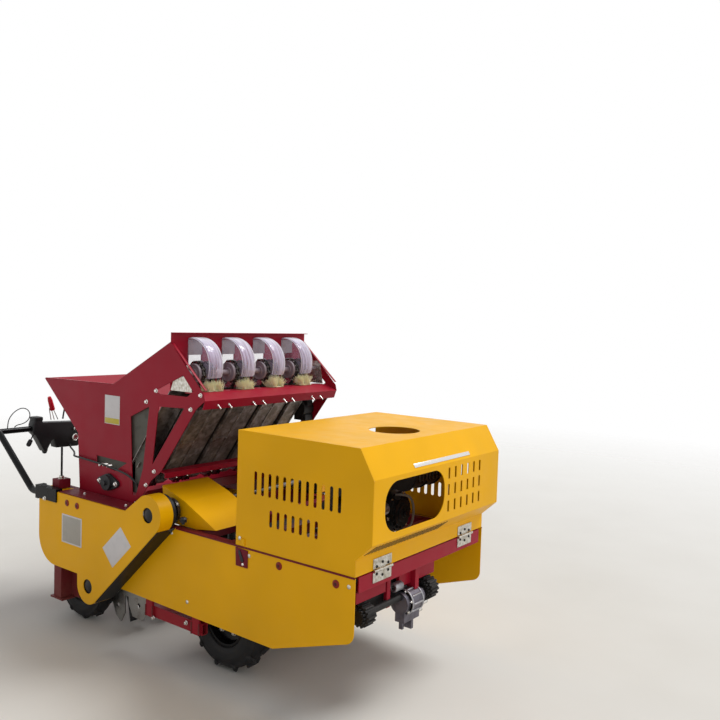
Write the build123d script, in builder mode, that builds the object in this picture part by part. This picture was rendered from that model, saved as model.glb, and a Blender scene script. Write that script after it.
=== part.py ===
from build123d import *

import os
from math import atan2, cos, hypot, radians, sin, tan

os.makedirs("parts", exist_ok=True)

# Walk-behind garlic planter, in millimetres. X runs forward, Y to the machine's left and Z up.
# The origin lies on the ground under the middle of the machine.

# Stock and clearances
SHEET = 3
TUBE_WALL = 4
MOVING_GAP = 5
RUNNING_FIT = 0.05
SEAT_GAP = 0.3
TOOTH_HEIGHT = 7
BEND_SHARE = 0.45

# Body width and planted rows
HALF_WIDTH = 465
ROWS = 4
ROW_PITCH = 200
ROW_YS = [(row - (ROWS - 1) / 2) * ROW_PITCH for row in range(ROWS)]
SIDES = (("right", -1), ("left", 1))

# Frame
RAIL_TOP = 595
RAIL_HEIGHT = 58
RAIL_WIDTH = 40
RAIL_REAR = -620
RAIL_FRONT = 1180
RAIL_OUT = HALF_WIDTH - SHEET
RAIL_IN = RAIL_OUT - RAIL_WIDTH
RAIL_BOTTOM = RAIL_TOP - RAIL_HEIGHT
CROSS_WIDTH = 50
CROSS_HEIGHT = 40
CROSS_BOTTOM = RAIL_TOP - CROSS_HEIGHT
CROSS_XS = (-590, 45, 370, 600, 760, 990)
BEAM_FACE = 1240
BEAM_WALL = 5
BEAM_HALF = 440
BASE_RAIL_HEIGHT = 50
BASE_TOP = RAIL_TOP + BASE_RAIL_HEIGHT

# Engine cover
COVER_REAR = 642
COVER_TOP = 1060
COVER_TOP_FRONT = 1247
COVER_NOSE = 1310
COVER_NOSE_TOP = 954
COVER_NOSE_BOTTOM = 725
COVER_SKIRT_TOP = 661
COVER_BOTTOM = RAIL_TOP + MOVING_GAP
WINDOW_Y = -190
WINDOW_Z = 842
WINDOW_WIDTH = 405
WINDOW_HEIGHT = 187
WINDOW_CORNER = 78
FILLER_X = 1064
FILLER_Y = 8
FILLER_R = 105
NOSE_SLOT = (13, 44)
SIDE_SLOT_WIDTH = 16
BEVEL_SLOTS = 24
BEVEL_SLOT_START = -440
BEVEL_SLOT_PITCH = 21

# Cover hinges
HINGE_YS = (-301, 308)
HINGE_WIDTH = 116
HINGE_LEAF = 42
HINGE_PLATE = 3
KNUCKLE_R = 6
HINGE_PIN_R = 3
HINGE_X = BEAM_FACE + KNUCKLE_R
HINGE_Z = (RAIL_TOP + COVER_BOTTOM) / 2

# Wheels
DRIVE_AXLE_X = 477
DRIVE_R = 215
DRIVE_WIDTH = 110
DRIVE_Y = 317
DRIVE_RIM_R = 110
DRIVE_SHAFT_R = 20
REAR_AXLE_X = -473
REAR_R = 190
REAR_WIDTH = 90
REAR_Y = 390
REAR_RIM_R = 100
REAR_SHAFT_R = 12
HUB_R = 38
TYRE_CORNER = 22

# Rear wheel legs
LEG_X = -518
LEG_SIZE = 60
LEG_Y = RAIL_OUT + SEAT_GAP + LEG_SIZE / 2
LEG_BOTTOM = 122
LEG_TOP = 600
LEG_PLATE = 8
SCREW_R = 8
SCREW_TOP = 800
NUT_BLOCK = 70
NUT_HEIGHT = 42

# Side skirts and chain cases
SKIRT_TOP = 597
SKIRT_FRONT = 1242
SKIRT_CORNER = 45
CASE_DEPTH = 96
CASE_OUT = RAIL_OUT + CASE_DEPTH
CASE_REAR = -626
CASE_TOP = 648
CASE_BOTTOM = 294
CASE_CORNER = 135
BOSS_X = 205
BOSS_Z = 655
BOSS_R = 86
LOBE_X = -218
LOBE_Z = 252
LOBE_R = 82
CASE_HOLE_R = 33
BOSS_INNER = 490
SHAFT_R = 14
SPROCKET_R = 66
CHAIN_DEPTH = 10
CHAIN_WIDTH = 20
CHAIN_Y = 512
PULLEY_R = 56

# Hopper unit
HOPPER_HALF = 437
HOPPER_IN = HOPPER_HALF - SHEET
PANEL_X = 187
PANEL_TOP = 1429
SHELF_TOP = 1177
SHELF_X = (283, 350)
LIP = ((398, 1112), (412, 1150))
TIE_X = 122
TIE_Z = 788
TIE_SIZE = 40
TIE_DROP = 24

# Elevators: one cup chain a row, round a top wheel and a bottom wheel
TOP_WHEEL_X = 266
TOP_WHEEL_Z = 1254
BOTTOM_WHEEL_X = -109
BOTTOM_WHEEL_Z = 745
CHAIN_LINE_R = 46
CUP_REACH = 80
CUP_PITCH = 84
CUP_WIDTH = 60
HOOD_X = 205
HOOD_Z = 1283
HOOD_R = 126
HOOD_FOOT = (262, 1234)
HOOD_WIDTH = 86
DUCT_FRONT = 94
DUCT_BACK = 18
DUCT_WIDTH = 94
DRIVE_CHAIN_OFFSET = 57
DRIVE_CHAIN_WIDTH = 12

# Handlebar
BAR_R = 16
BAR_Y = 545
BAR_START = (-650, 620)
BAR_KNEE = (-690, 622)
BAR_SHOULDER = (-1030, 866)
BAR_END = -1310
BAR_BEND = 60
GRIP_LENGTH = 130
GRIP_R = 20
CROSSBAR_X = -1070
CLAMP_FRONT = -472
CLAMP_OUT = 565
CLAMP_BOTTOM = 598
CROSSBAR_R = BAR_R - 1
FLANGE_THICKNESS = 12
MOTOR_X = 225
MOTOR_Z = 1045


def at_y(y):
    """An upright sketch plane facing the machine's right, at this Y: local axes are X and Z."""
    return Plane.XZ.offset(-y)


def face_of(plane, *points):
    """The flat face inside these points of a plane."""
    with BuildSketch(plane) as outline:
        Polygon(*points)
    return outline.sketch


def block(xs, ys, zs, mode=Mode.ADD):
    """A plain block between two values on each axis, added to the piece in hand."""
    with Locations((sum(xs) / 2, sum(ys) / 2, sum(zs) / 2)):
        Box(xs[1] - xs[0], ys[1] - ys[0], zs[1] - zs[0], mode=mode)


def across(x, z, radius, y0, y1, mode=Mode.ADD):
    """A round bar along Y between two values, added to the piece in hand."""
    with Locations((x, (y0 + y1) / 2, z)):
        Cylinder(radius, abs(y1 - y0), rotation=(90, 0, 0), mode=mode)


def shifted(points, distance):
    """The path through these points moved to its left by a distance, with mitred corners."""
    moved = []
    last = len(points) - 1
    for index, (x, z) in enumerate(points):
        before = points[max(index - 1, 0)]
        here = points[min(index + 1, last)]
        start = before if index > 0 else points[0]
        first = (x - start[0], z - start[1]) if index > 0 else (here[0] - x, here[1] - z)
        second = (here[0] - x, here[1] - z) if index < last else first
        size_a = hypot(*first)
        size_b = hypot(*second)
        normal_a = (-first[1] / size_a, first[0] / size_a)
        normal_b = (-second[1] / size_b, second[0] / size_b)
        spread = 1 + normal_a[0] * normal_b[0] + normal_a[1] * normal_b[1]
        moved.append((x + distance * (normal_a[0] + normal_b[0]) / spread,
                      z + distance * (normal_a[1] + normal_b[1]) / spread))
    return moved


def bent_sheet(points, wall):
    """The section of a sheet bent along points, its thickness on the left of the path."""
    return [*points, *reversed(shifted(points, wall))]


def side_span(sign, inner, outer):
    """The low and high Y of a layer between two distances from the middle plane."""
    return (inner, outer) if sign > 0 else (-outer, -inner)


def toothed_wheel(x, z, radius, teeth, y0, y1):
    """A wheel with square teeth out to a radius, across the machine, added to the piece in hand."""
    with BuildSketch(at_y(max(y0, y1))) as wheel:
        with Locations((x, z)):
            Circle(radius - TOOTH_HEIGHT)
            with PolarLocations(radius - TOOTH_HEIGHT, teeth):
                Rectangle(2 * TOOTH_HEIGHT, TOOTH_HEIGHT)
    extrude(wheel.sketch, amount=abs(y1 - y0))


def cord_tube(points, diameter):
    """A cable's tube along its route, each bend as round as its two runs allow, added to the piece in hand."""
    radii = []
    for before, here, after in zip(points, points[1:], points[2:]):
        first = Vector(*here) - Vector(*before)
        second = Vector(*after) - Vector(*here)
        half_turn = radians(first.get_angle(second)) / 2
        radii.append(BEND_SHARE * min(first.length, second.length) / tan(half_turn))
    print("bend radii", [round(radius) for radius in radii])
    with BuildLine() as route:
        FilletPolyline(*points, radius=radii)
    with BuildSketch(Plane(origin=points[0], z_dir=Vector(*points[1]) - Vector(*points[0]))) as section:
        Circle(diameter / 2)
    sweep(section.sketch, path=route.line)


def tyre_face(x, y, height, rim_r, outer_r, width):
    """One half of a tyre's section, level with its axle."""
    with BuildSketch(Plane(origin=(x, y, height))) as section:
        with Locations(((rim_r + outer_r) / 2, 0)):
            RectangleRounded(outer_r - rim_r, width, TYRE_CORNER)
    return section.sketch


def save(piece, label):
    """Name a finished piece and write it."""
    piece.part.label = label
    export_step(piece.part, f"parts/{label}.step")


# Main rails: a rectangular tube along each side
LUG_X = 142
LUG_BOTTOM = 488
LUG_DEPTH = 14
with BuildPart() as main_rails:
    for side, sign in SIDES:
        ys = side_span(sign, RAIL_IN, RAIL_OUT)
        block((RAIL_REAR, RAIL_FRONT), ys, (RAIL_BOTTOM, RAIL_TOP))
        block((RAIL_REAR, RAIL_FRONT), (ys[0] + TUBE_WALL, ys[1] - TUBE_WALL),
              (RAIL_BOTTOM + TUBE_WALL, RAIL_TOP - TUBE_WALL), mode=Mode.SUBTRACT)
        # a clamp lug that shows in the chain case's open diagonal
        block((LUG_X - 14, LUG_X + 14), side_span(sign, RAIL_OUT, RAIL_OUT + LUG_DEPTH), (LUG_BOTTOM, RAIL_TOP - 10))
save(main_rails, "main_rails")

# Cross members between the rails
with BuildPart() as cross_members:
    for x in CROSS_XS:
        xs = (x - CROSS_WIDTH / 2, x + CROSS_WIDTH / 2)
        block(xs, (-RAIL_IN, RAIL_IN), (CROSS_BOTTOM, RAIL_TOP))
        block((xs[0] + TUBE_WALL, xs[1] - TUBE_WALL), (-RAIL_IN, RAIL_IN),
              (CROSS_BOTTOM + TUBE_WALL, RAIL_TOP - TUBE_WALL), mode=Mode.SUBTRACT)
save(cross_members, "cross_members")

# Front gear case position, hung under the beam
GEAR_X = 1195
GEAR_Z = 400
# low Y, high Y, radius
GEAR_STEPS = ((-112, -90, 42), (-90, -12, 50), (-12, 10, 42), (10, 30, 32))
GEAR_SEAT_R = 50
FRONT_SHAFT_R = 14
# height, low Y, high Y, radius, teeth
FRONT_WHEELS = ((424, -372, -322, 44, 14), (414, 60, 112, 47, 16))
# height and end of the pins that stand out of the case
GEAR_PINS = ((358, 79), (336, 38))
GEAR_PIN_R = 9
# low Y, high Y, low and high Z of the box under the case and the tines on it
GEAR_LOWER = ((-104, 4, 322, 368), (-96, -84, 292, 323), (-52, -38, 286, 323))

# Front beam: a channel open to the rear, closing the rails' front ends, with the gear case's bracket
with BuildPart() as front_beam:
    with BuildSketch(at_y(BEAM_HALF)):
        Polygon(*bent_sheet([(RAIL_FRONT, RAIL_BOTTOM), (BEAM_FACE, RAIL_BOTTOM), (BEAM_FACE, RAIL_TOP),
                             (RAIL_FRONT, RAIL_TOP)], BEAM_WALL))
    extrude(amount=2 * BEAM_HALF)
    block((GEAR_X - 18, GEAR_X + 26), (-40, -14), (GEAR_Z, RAIL_BOTTOM))
    across(GEAR_X, GEAR_Z, GEAR_SEAT_R, -40, -14, mode=Mode.SUBTRACT)
    block((GEAR_X - 14, GEAR_X + 2), (-118, 140), (GEAR_Z + 66, RAIL_BOTTOM))
    block((GEAR_X + 2, GEAR_X + 12), (-410, -225), (GEAR_Z + 80, RAIL_BOTTOM))
save(front_beam, "front_beam")

# Base rails that carry the hopper unit on the main rails
BASE_RAIL_FRONT = -40
FLANGE_REAR = -468
FLANGE_FRONT = 44
with BuildPart() as base_rails:
    for side, sign in SIDES:
        ys = side_span(sign, RAIL_IN, RAIL_OUT)
        block((RAIL_REAR, BASE_RAIL_FRONT), ys, (RAIL_TOP, BASE_TOP))
        block((RAIL_REAR, BASE_RAIL_FRONT), (ys[0] + TUBE_WALL, ys[1] - TUBE_WALL),
              (RAIL_TOP + TUBE_WALL, BASE_TOP - TUBE_WALL), mode=Mode.SUBTRACT)
        # a flat flange from the rail over the chain case
        block((FLANGE_REAR, BASE_RAIL_FRONT), side_span(sign, RAIL_OUT - 6, RAIL_OUT), (BASE_TOP, CASE_TOP + 4))
        block((FLANGE_REAR, FLANGE_FRONT), side_span(sign, RAIL_OUT - 6, CASE_OUT - 6), (CASE_TOP + SEAT_GAP, CASE_TOP + 4))
save(base_rails, "base_rails")

# Lower guide rails beside the drive wheels, each on two flat hangers under the main rail
GUIDE_X = (50, 416)
GUIDE_Z = (155, 205)
GUIDE_Y = (398, 430)
HANGER_WIDTH = 46
HANGER_XS = (76, 384)
HANGER_THICKNESS = 10
with BuildPart() as guide_rails:
    for side, sign in SIDES:
        block(GUIDE_X, side_span(sign, *GUIDE_Y), GUIDE_Z)
        block(GUIDE_X, side_span(sign, GUIDE_Y[0] + TUBE_WALL, GUIDE_Y[1] - TUBE_WALL),
              (GUIDE_Z[0] + TUBE_WALL, GUIDE_Z[1] - TUBE_WALL), mode=Mode.SUBTRACT)
        for x in HANGER_XS:
            block((x - HANGER_WIDTH / 2, x + HANGER_WIDTH / 2),
                  side_span(sign, GUIDE_Y[1] + SEAT_GAP, GUIDE_Y[1] + HANGER_THICKNESS),
                  (GUIDE_Z[0], RAIL_BOTTOM))
save(guide_rails, "guide_rails")

# Transmission: a cast case under the frame with an axle tube and a stub shaft to each drive wheel
GEARCASE_HALF = 95
GEARCASE_R = 105
GEARCASE_PLATE = 12
AXLE_TUBE_R = 34
drive_hub_in = DRIVE_Y - DRIVE_WIDTH / 2 + 10
drive_hub_out = DRIVE_Y + DRIVE_WIDTH / 2 - 12
with BuildPart() as transmission:
    with BuildSketch(at_y(GEARCASE_HALF)):
        with Locations((DRIVE_AXLE_X, DRIVE_R)):
            Circle(GEARCASE_R)
        with Locations((DRIVE_AXLE_X + 20, CROSS_BOTTOM - GEARCASE_PLATE - 85)):
            RectangleRounded(230, 170, 25)
        make_hull()
    extrude(amount=2 * GEARCASE_HALF)
    block((CROSS_XS[2] - CROSS_WIDTH / 2, CROSS_XS[3] + CROSS_WIDTH / 2), (-GEARCASE_HALF - 30, GEARCASE_HALF + 30),
          (CROSS_BOTTOM - GEARCASE_PLATE, CROSS_BOTTOM))
    across(DRIVE_AXLE_X, DRIVE_R, AXLE_TUBE_R, -drive_hub_in + MOVING_GAP, drive_hub_in - MOVING_GAP)
    across(DRIVE_AXLE_X, DRIVE_R, DRIVE_SHAFT_R, -drive_hub_out - MOVING_GAP, drive_hub_out + MOVING_GAP)
    for sign in (-1, 1):
        across(DRIVE_AXLE_X, DRIVE_R, DRIVE_SHAFT_R + 10, sign * (drive_hub_out + 1), sign * (drive_hub_out + 11))
save(transmission, "transmission")

# Engine: crankcase, finned cylinder and head, on a foot across two cross members
ENGINE_X = (775, 985)
ENGINE_Y = (-70, 170)
ENGINE_Z = (RAIL_TOP, 800)
CYLINDER_R = 62
FIN_R = 88
FIN_COUNT = 6
FIN_PITCH = 16
SHAFT_Z = 705
engine_mid_x = sum(ENGINE_X) / 2
engine_mid_y = sum(ENGINE_Y) / 2
with BuildPart() as engine_block:
    block((ENGINE_X[0] - 40, ENGINE_X[1]), (ENGINE_Y[0] - 20, ENGINE_Y[1] + 20), (RAIL_TOP, RAIL_TOP + 14))
    with BuildSketch(at_y(ENGINE_Y[1])):
        with Locations((engine_mid_x, (ENGINE_Z[0] + ENGINE_Z[1]) / 2)):
            RectangleRounded(ENGINE_X[1] - ENGINE_X[0], ENGINE_Z[1] - ENGINE_Z[0], 40)
    extrude(amount=ENGINE_Y[1] - ENGINE_Y[0])
    with BuildSketch(Plane.XY.offset(ENGINE_Z[1] - 20)):
        with Locations((engine_mid_x, engine_mid_y)):
            Circle(CYLINDER_R)
    extrude(amount=20 + FIN_COUNT * FIN_PITCH)
    for fin in range(FIN_COUNT):
        with BuildSketch(Plane.XY.offset(ENGINE_Z[1] + 6 + fin * FIN_PITCH)):
            with Locations((engine_mid_x, engine_mid_y)):
                RectangleRounded(2 * FIN_R, 2 * FIN_R, 30)
        extrude(amount=FIN_PITCH / 3)
    across(engine_mid_x - 30, SHAFT_Z, 26, ENGINE_Y[0] - 60, ENGINE_Y[0] + 10)
    across(engine_mid_x - 30, SHAFT_Z, 58, ENGINE_Y[0] - 55, ENGINE_Y[0] - 15)
save(engine_block, "engine_block")

# Muffler: a rolled can on the engine's front side, with its pipe
MUFFLER_R = 68
MUFFLER_X = ENGINE_X[1] + MUFFLER_R + 28
MUFFLER_Y = (40, 262)
MUFFLER_Z = 874
with BuildPart() as muffler:
    across(MUFFLER_X, MUFFLER_Z, MUFFLER_R, *MUFFLER_Y)
    for y in (MUFFLER_Y[0] + 14, (MUFFLER_Y[0] + MUFFLER_Y[1]) / 2, MUFFLER_Y[1] - 14):
        across(MUFFLER_X, MUFFLER_Z, MUFFLER_R + 5, y - 5, y + 5)
    block((engine_mid_x + FIN_R, MUFFLER_X), (MUFFLER_Y[0] + 20, MUFFLER_Y[0] + 64), (MUFFLER_Z - 20, MUFFLER_Z + 14))
save(muffler, "muffler")

# Recoil starter: a pressed round housing in rings on the crankcase's front
STARTER_Y = 125
STARTER_Z = 692
# ring radius, ring's face ahead of the crankcase
STARTER_RINGS = ((88, 34), (74, 46), (56, 56), (38, 64), (20, 70))
with BuildPart() as recoil_starter:
    for radius, depth in STARTER_RINGS:
        with BuildSketch(Plane.YZ.offset(ENGINE_X[1])):
            with Locations((STARTER_Y, STARTER_Z)):
                Circle(radius)
        extrude(amount=depth)
save(recoil_starter, "recoil_starter")

# Starter motor: a bright can beside the recoil starter, on a foot
with BuildPart() as starter_motor:
    across(ENGINE_X[1] + 30, 722, 26, -62, 28)
    block((ENGINE_X[1], ENGINE_X[1] + 30), (-50, 16), (708, 736))
save(starter_motor, "starter_motor")

# Fuel tank on two feet over the fins
TANK_Z = (ENGINE_Z[1] + FIN_COUNT * FIN_PITCH, 1000)
with BuildPart() as fuel_tank:
    with BuildSketch(Plane.XY.offset(TANK_Z[0])):
        with Locations((engine_mid_x + 10, engine_mid_y - 30)):
            RectangleRounded(230, 300, 45)
    extrude(amount=TANK_Z[1] - TANK_Z[0])
    fillet(fuel_tank.faces().sort_by(Axis.Z)[-1].edges(), 22)
    with Locations((engine_mid_x + 60, engine_mid_y - 30, TANK_Z[1] + 9)):
        Cylinder(34, 18)
save(fuel_tank, "fuel_tank")

# Front gear case: stepped round housings under the beam, hung from a bracket plate
with BuildPart() as gear_case:
    for y0, y1, radius in GEAR_STEPS:
        across(GEAR_X, GEAR_Z, radius, y0, y1)
    for z, y0, y1, radius, teeth in FRONT_WHEELS:
        across(GEAR_X, z, FRONT_SHAFT_R, min(y0, 0), max(y1, 0), mode=Mode.SUBTRACT)
    for y0, y1, z0, z1 in GEAR_LOWER:
        half = 22 if z1 - z0 > 35 else 8
        block((GEAR_X - half, GEAR_X + half), (y0, y1), (z0, z1))
    for z, end in GEAR_PINS:
        across(GEAR_X, z, GEAR_PIN_R, 0, end)
save(gear_case, "gear_case")

# Toothed wheels on their shafts out of the gear case
with BuildPart() as front_wheels:
    for z, y0, y1, radius, teeth in FRONT_WHEELS:
        across(GEAR_X, z, FRONT_SHAFT_R, min(y0, 0), max(y1, 0))
        toothed_wheel(GEAR_X, z, radius, teeth, y0, y1)
        toothed_wheel(GEAR_X, z, radius - 12, teeth, y0 - 14, y1 + 14)
save(front_wheels, "front_wheels")

# Side skirts: flat sheets outside the rails with a rounded front corner
SKIRT_POINTS = ((274, SKIRT_TOP), (SKIRT_FRONT, SKIRT_TOP), (SKIRT_FRONT, 363), (853, 236), (-103, 246))
with BuildPart() as side_skirts:
    for side, sign in SIDES:
        low, high = side_span(sign, RAIL_OUT, HALF_WIDTH)
        with BuildSketch(at_y(high)) as outline:
            Polygon(*SKIRT_POINTS)
            fillet(outline.vertices().sort_by(Axis.X)[-2:].sort_by(Axis.Y)[0], SKIRT_CORNER)
        extrude(amount=SHEET)
save(side_skirts, "side_skirts")

# Chain cases: a tray over the chain, closed outside and round its rim but open along the diagonal
line_angle = atan2(BOSS_Z - LOBE_Z, BOSS_X - LOBE_X)
edge_x = sin(line_angle)
edge_z = -cos(line_angle)
CASE_BODY = (
    (CASE_REAR, CASE_TOP), (50, CASE_TOP),
    (BOSS_X - BOSS_R * 0.62, BOSS_Z + BOSS_R * 0.785), (BOSS_X, BOSS_Z),
    (BOSS_X + BOSS_R * edge_x, BOSS_Z + BOSS_R * edge_z),
    (LOBE_X + LOBE_R * edge_x, LOBE_Z + LOBE_R * edge_z),
    (LOBE_X, LOBE_Z), (LOBE_X - LOBE_R, LOBE_Z), (LOBE_X - LOBE_R, CASE_BOTTOM), (CASE_REAR, CASE_BOTTOM),
)


def case_face(plane, inset):
    """The chain case's outline on a plane, drawn in by an inset."""
    with BuildSketch(plane) as outline:
        Polygon(*CASE_BODY)
        corner = plane.from_local_coords((CASE_REAR, CASE_BOTTOM, 0))
        fillet(outline.vertices().sort_by_distance(corner)[0], CASE_CORNER)
        with Locations((BOSS_X, BOSS_Z)):
            Circle(BOSS_R)
        with Locations((LOBE_X, LOBE_Z)):
            Circle(LOBE_R)
        if inset:
            offset(amount=-inset, kind=Kind.INTERSECTION, mode=Mode.REPLACE)
    return outline.sketch


RIM_GAP_START = 30
RIM_GAP_END = 20
case_rim_top = (BOSS_X + BOSS_R * edge_x * 0.9 - RIM_GAP_START * cos(line_angle),
                BOSS_Z + BOSS_R * edge_z * 0.9 - RIM_GAP_START * sin(line_angle))
case_rim_low = (LOBE_X + LOBE_R * edge_x * 0.9 + RIM_GAP_END * cos(line_angle),
                LOBE_Z + LOBE_R * edge_z * 0.9 + RIM_GAP_END * sin(line_angle))
CASE_RIM_GAP = (case_rim_top, case_rim_low,
                (case_rim_low[0] + 20 * edge_x, case_rim_low[1] + 20 * edge_z),
                (case_rim_top[0] + 20 * edge_x, case_rim_top[1] + 20 * edge_z))
with BuildPart() as chain_cases:
    for side, sign in SIDES:
        low, high = side_span(sign, RAIL_OUT, CASE_OUT)
        inner = side_span(sign, RAIL_OUT, CASE_OUT - SHEET)
        extrude(case_face(at_y(high), 0), amount=CASE_DEPTH)
        extrude(case_face(at_y(inner[1]), SHEET), amount=CASE_DEPTH - SHEET, mode=Mode.SUBTRACT)
        # the rim is left out along the diagonal
        extrude(face_of(at_y(inner[1]), *CASE_RIM_GAP), amount=CASE_DEPTH - SHEET, mode=Mode.SUBTRACT)
        for x, z in ((BOSS_X, BOSS_Z), (LOBE_X, LOBE_Z)):
            across(x, z, CASE_HOLE_R, low - 1, high + 1, mode=Mode.SUBTRACT)
        # the boss stands clear of the rail's face, behind which the shaft's guard ring sits
        block((96, BOSS_X + BOSS_R + 5), side_span(sign, RAIL_OUT - 1, BOSS_INNER), (CASE_BOTTOM, BOSS_Z + BOSS_R + 5),
              mode=Mode.SUBTRACT)
        # room for the wheel leg in the bottom rim and for its screw in the top rim
        block((LEG_X - LEG_SIZE / 2 - 2, LEG_X + LEG_SIZE / 2 + 2),
              side_span(sign, RAIL_OUT - 10, LEG_Y + LEG_SIZE / 2 + 2), (CASE_BOTTOM - 10, CASE_BOTTOM + 60),
              mode=Mode.SUBTRACT)
        with Locations((LEG_X, sign * LEG_Y, CASE_TOP)):
            Cylinder(SCREW_R + SEAT_GAP, 20, mode=Mode.SUBTRACT)
save(chain_cases, "chain_cases")

# Case chains and their shafts
with BuildPart() as case_chains:
    for side, sign in SIDES:
        low, high = side_span(sign, CHAIN_Y - CHAIN_WIDTH / 2, CHAIN_Y + CHAIN_WIDTH / 2)
        with BuildSketch(at_y(high)):
            for x, z in ((BOSS_X, BOSS_Z), (LOBE_X, LOBE_Z)):
                with Locations((x, z)):
                    Circle(SPROCKET_R + CHAIN_DEPTH)
            make_hull()
            with BuildSketch(at_y(high), mode=Mode.SUBTRACT):
                for x, z in ((BOSS_X, BOSS_Z), (LOBE_X, LOBE_Z)):
                    with Locations((x, z)):
                        Circle(SPROCKET_R)
                make_hull()
        extrude(amount=CHAIN_WIDTH)
save(case_chains, "case_chains")

shaft_end = CASE_OUT - 12
with BuildPart() as upper_shaft:
    across(BOSS_X, BOSS_Z, SHAFT_R, -shaft_end, shaft_end)
    for side, sign in SIDES:
        across(BOSS_X, BOSS_Z, SPROCKET_R, *side_span(sign, CHAIN_Y - 4, CHAIN_Y + 4))
        across(BOSS_X, BOSS_Z, PULLEY_R, *side_span(sign, RAIL_IN + 4, RAIL_IN + 18))
save(upper_shaft, "upper_shaft")

with BuildPart() as planting_shaft:
    across(LOBE_X, LOBE_Z, SHAFT_R, -shaft_end, shaft_end)
    for side, sign in SIDES:
        across(LOBE_X, LOBE_Z, SPROCKET_R, *side_span(sign, CHAIN_Y - 4, CHAIN_Y + 4))
save(planting_shaft, "planting_shaft")

# Bearings: blocks on the rails for the upper shaft, plates under them for the planting shaft
BEARING_HALF = 34
HANGER_HALF = 38
HANGER_PLATE = 10
GUARD_RING_R = 78
with BuildPart() as shaft_bearings:
    for side, sign in SIDES:
        ys = side_span(sign, RAIL_IN + 20, RAIL_OUT)
        block((BOSS_X - BEARING_HALF, BOSS_X + BEARING_HALF), ys, (RAIL_TOP, BOSS_Z))
        across(BOSS_X, BOSS_Z, BEARING_HALF, *ys)
        across(BOSS_X, BOSS_Z, SHAFT_R, *ys, mode=Mode.SUBTRACT)
        # guard ring between the rail and the chain case
        across(BOSS_X, BOSS_Z, BEARING_HALF, *side_span(sign, RAIL_OUT, RAIL_OUT + 5))
        across(BOSS_X, BOSS_Z, GUARD_RING_R, *side_span(sign, RAIL_OUT + 5, BOSS_INNER - 6))
        across(BOSS_X, BOSS_Z, SHAFT_R, *side_span(sign, RAIL_OUT - 1, BOSS_INNER), mode=Mode.SUBTRACT)
        hanger_ys = side_span(sign, RAIL_IN, RAIL_IN + HANGER_PLATE)
        block((LOBE_X - HANGER_HALF, LOBE_X + HANGER_HALF), hanger_ys, (LOBE_Z, RAIL_BOTTOM))
        across(LOBE_X, LOBE_Z, HANGER_HALF, *hanger_ys)
        across(LOBE_X, LOBE_Z, SHAFT_R, *hanger_ys, mode=Mode.SUBTRACT)
save(shaft_bearings, "shaft_bearings")

# Belt guard: a folded cover on the right half between the engine and the hopper
GUARD_POINTS = ((142, RAIL_TOP), (350, RAIL_TOP), (472, 612), (267, 705), (122, 750))
GUARD_Y = (-415, -150)
with BuildPart() as belt_guard:
    extrude(face_of(at_y(GUARD_Y[1]), *GUARD_POINTS), amount=GUARD_Y[1] - GUARD_Y[0])
    with BuildSketch(at_y(GUARD_Y[1] - SHEET)) as inside:
        Polygon(*GUARD_POINTS)
        offset(amount=-SHEET, kind=Kind.INTERSECTION, mode=Mode.REPLACE)
    extrude(amount=GUARD_Y[1] - GUARD_Y[0] - 2 * SHEET, mode=Mode.SUBTRACT)
    block((142 + SHEET, 350), (GUARD_Y[0] + SHEET, GUARD_Y[1] - SHEET), (RAIL_TOP - 1, RAIL_TOP + 10),
          mode=Mode.SUBTRACT)
    across(BOSS_X, BOSS_Z, SHAFT_R + 3, GUARD_Y[0] - 1, GUARD_Y[1] + 1, mode=Mode.SUBTRACT)
save(belt_guard, "belt_guard")

# Hopper sides: sheets with windows and a framed front edge
HOPPER_OUTLINE = (
    (-791, 1164), (-494, 918), (-474, BASE_TOP), (-57, BASE_TOP), (12, 690), (68, 764), (137, 815),
    (356, 1109), (411, 1149), (404, SHELF_TOP), (187, 1386), (-220, 1173),
)
HOPPER_WINDOWS = (
    ((-83, 1038), (48, 1095), (48, 1080), (11, 811), (-35, 684), (-60, 681)),
    ((113, 1101), (283, 1108), (76, 837)),
    ((92, 1170), (272, 1248), (338, 1183), (300, 1159), (122, 1157)),
    ((-344, 828), (-104, 822), (-193, 772), (-343, 794)),
)
with BuildPart() as hopper_sides:
    for side, sign in SIDES:
        low, high = side_span(sign, HOPPER_IN, HOPPER_HALF)
        with BuildSketch(at_y(high)):
            Polygon(*HOPPER_OUTLINE)
            for window in HOPPER_WINDOWS:
                Polygon(*window, mode=Mode.SUBTRACT)
        extrude(amount=SHEET)
save(hopper_sides, "hopper_sides")

# Hopper bin: the rear wall, sloped above and upright below, and the floor down to the elevators
with BuildPart() as hopper_bin:
    with BuildSketch(at_y(HOPPER_IN)):
        Polygon(*bent_sheet([(-474, BASE_TOP), (-494, 918), (-791, 1164)], -SHEET))
    extrude(amount=2 * HOPPER_IN)
    with BuildSketch(at_y(HOPPER_IN)):
        Polygon(*bent_sheet([(-486, 831), (-230, 668), (-20, 650), (40, 712)], SHEET))
    extrude(amount=2 * HOPPER_IN)
save(hopper_bin, "hopper_bin")

# Elevator lines: along the chain from the bottom wheel to the top one, and off it to the front
run = hypot(TOP_WHEEL_X - BOTTOM_WHEEL_X, TOP_WHEEL_Z - BOTTOM_WHEEL_Z)
along = ((TOP_WHEEL_X - BOTTOM_WHEEL_X) / run, (TOP_WHEEL_Z - BOTTOM_WHEEL_Z) / run)
front = (along[1], -along[0])


def on_line(distance, out):
    """A point beside the elevator: a distance up from its bottom wheel and out to the front."""
    return (BOTTOM_WHEEL_X + along[0] * distance + front[0] * out,
            BOTTOM_WHEEL_Z + along[1] * distance + front[1] * out)


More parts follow.
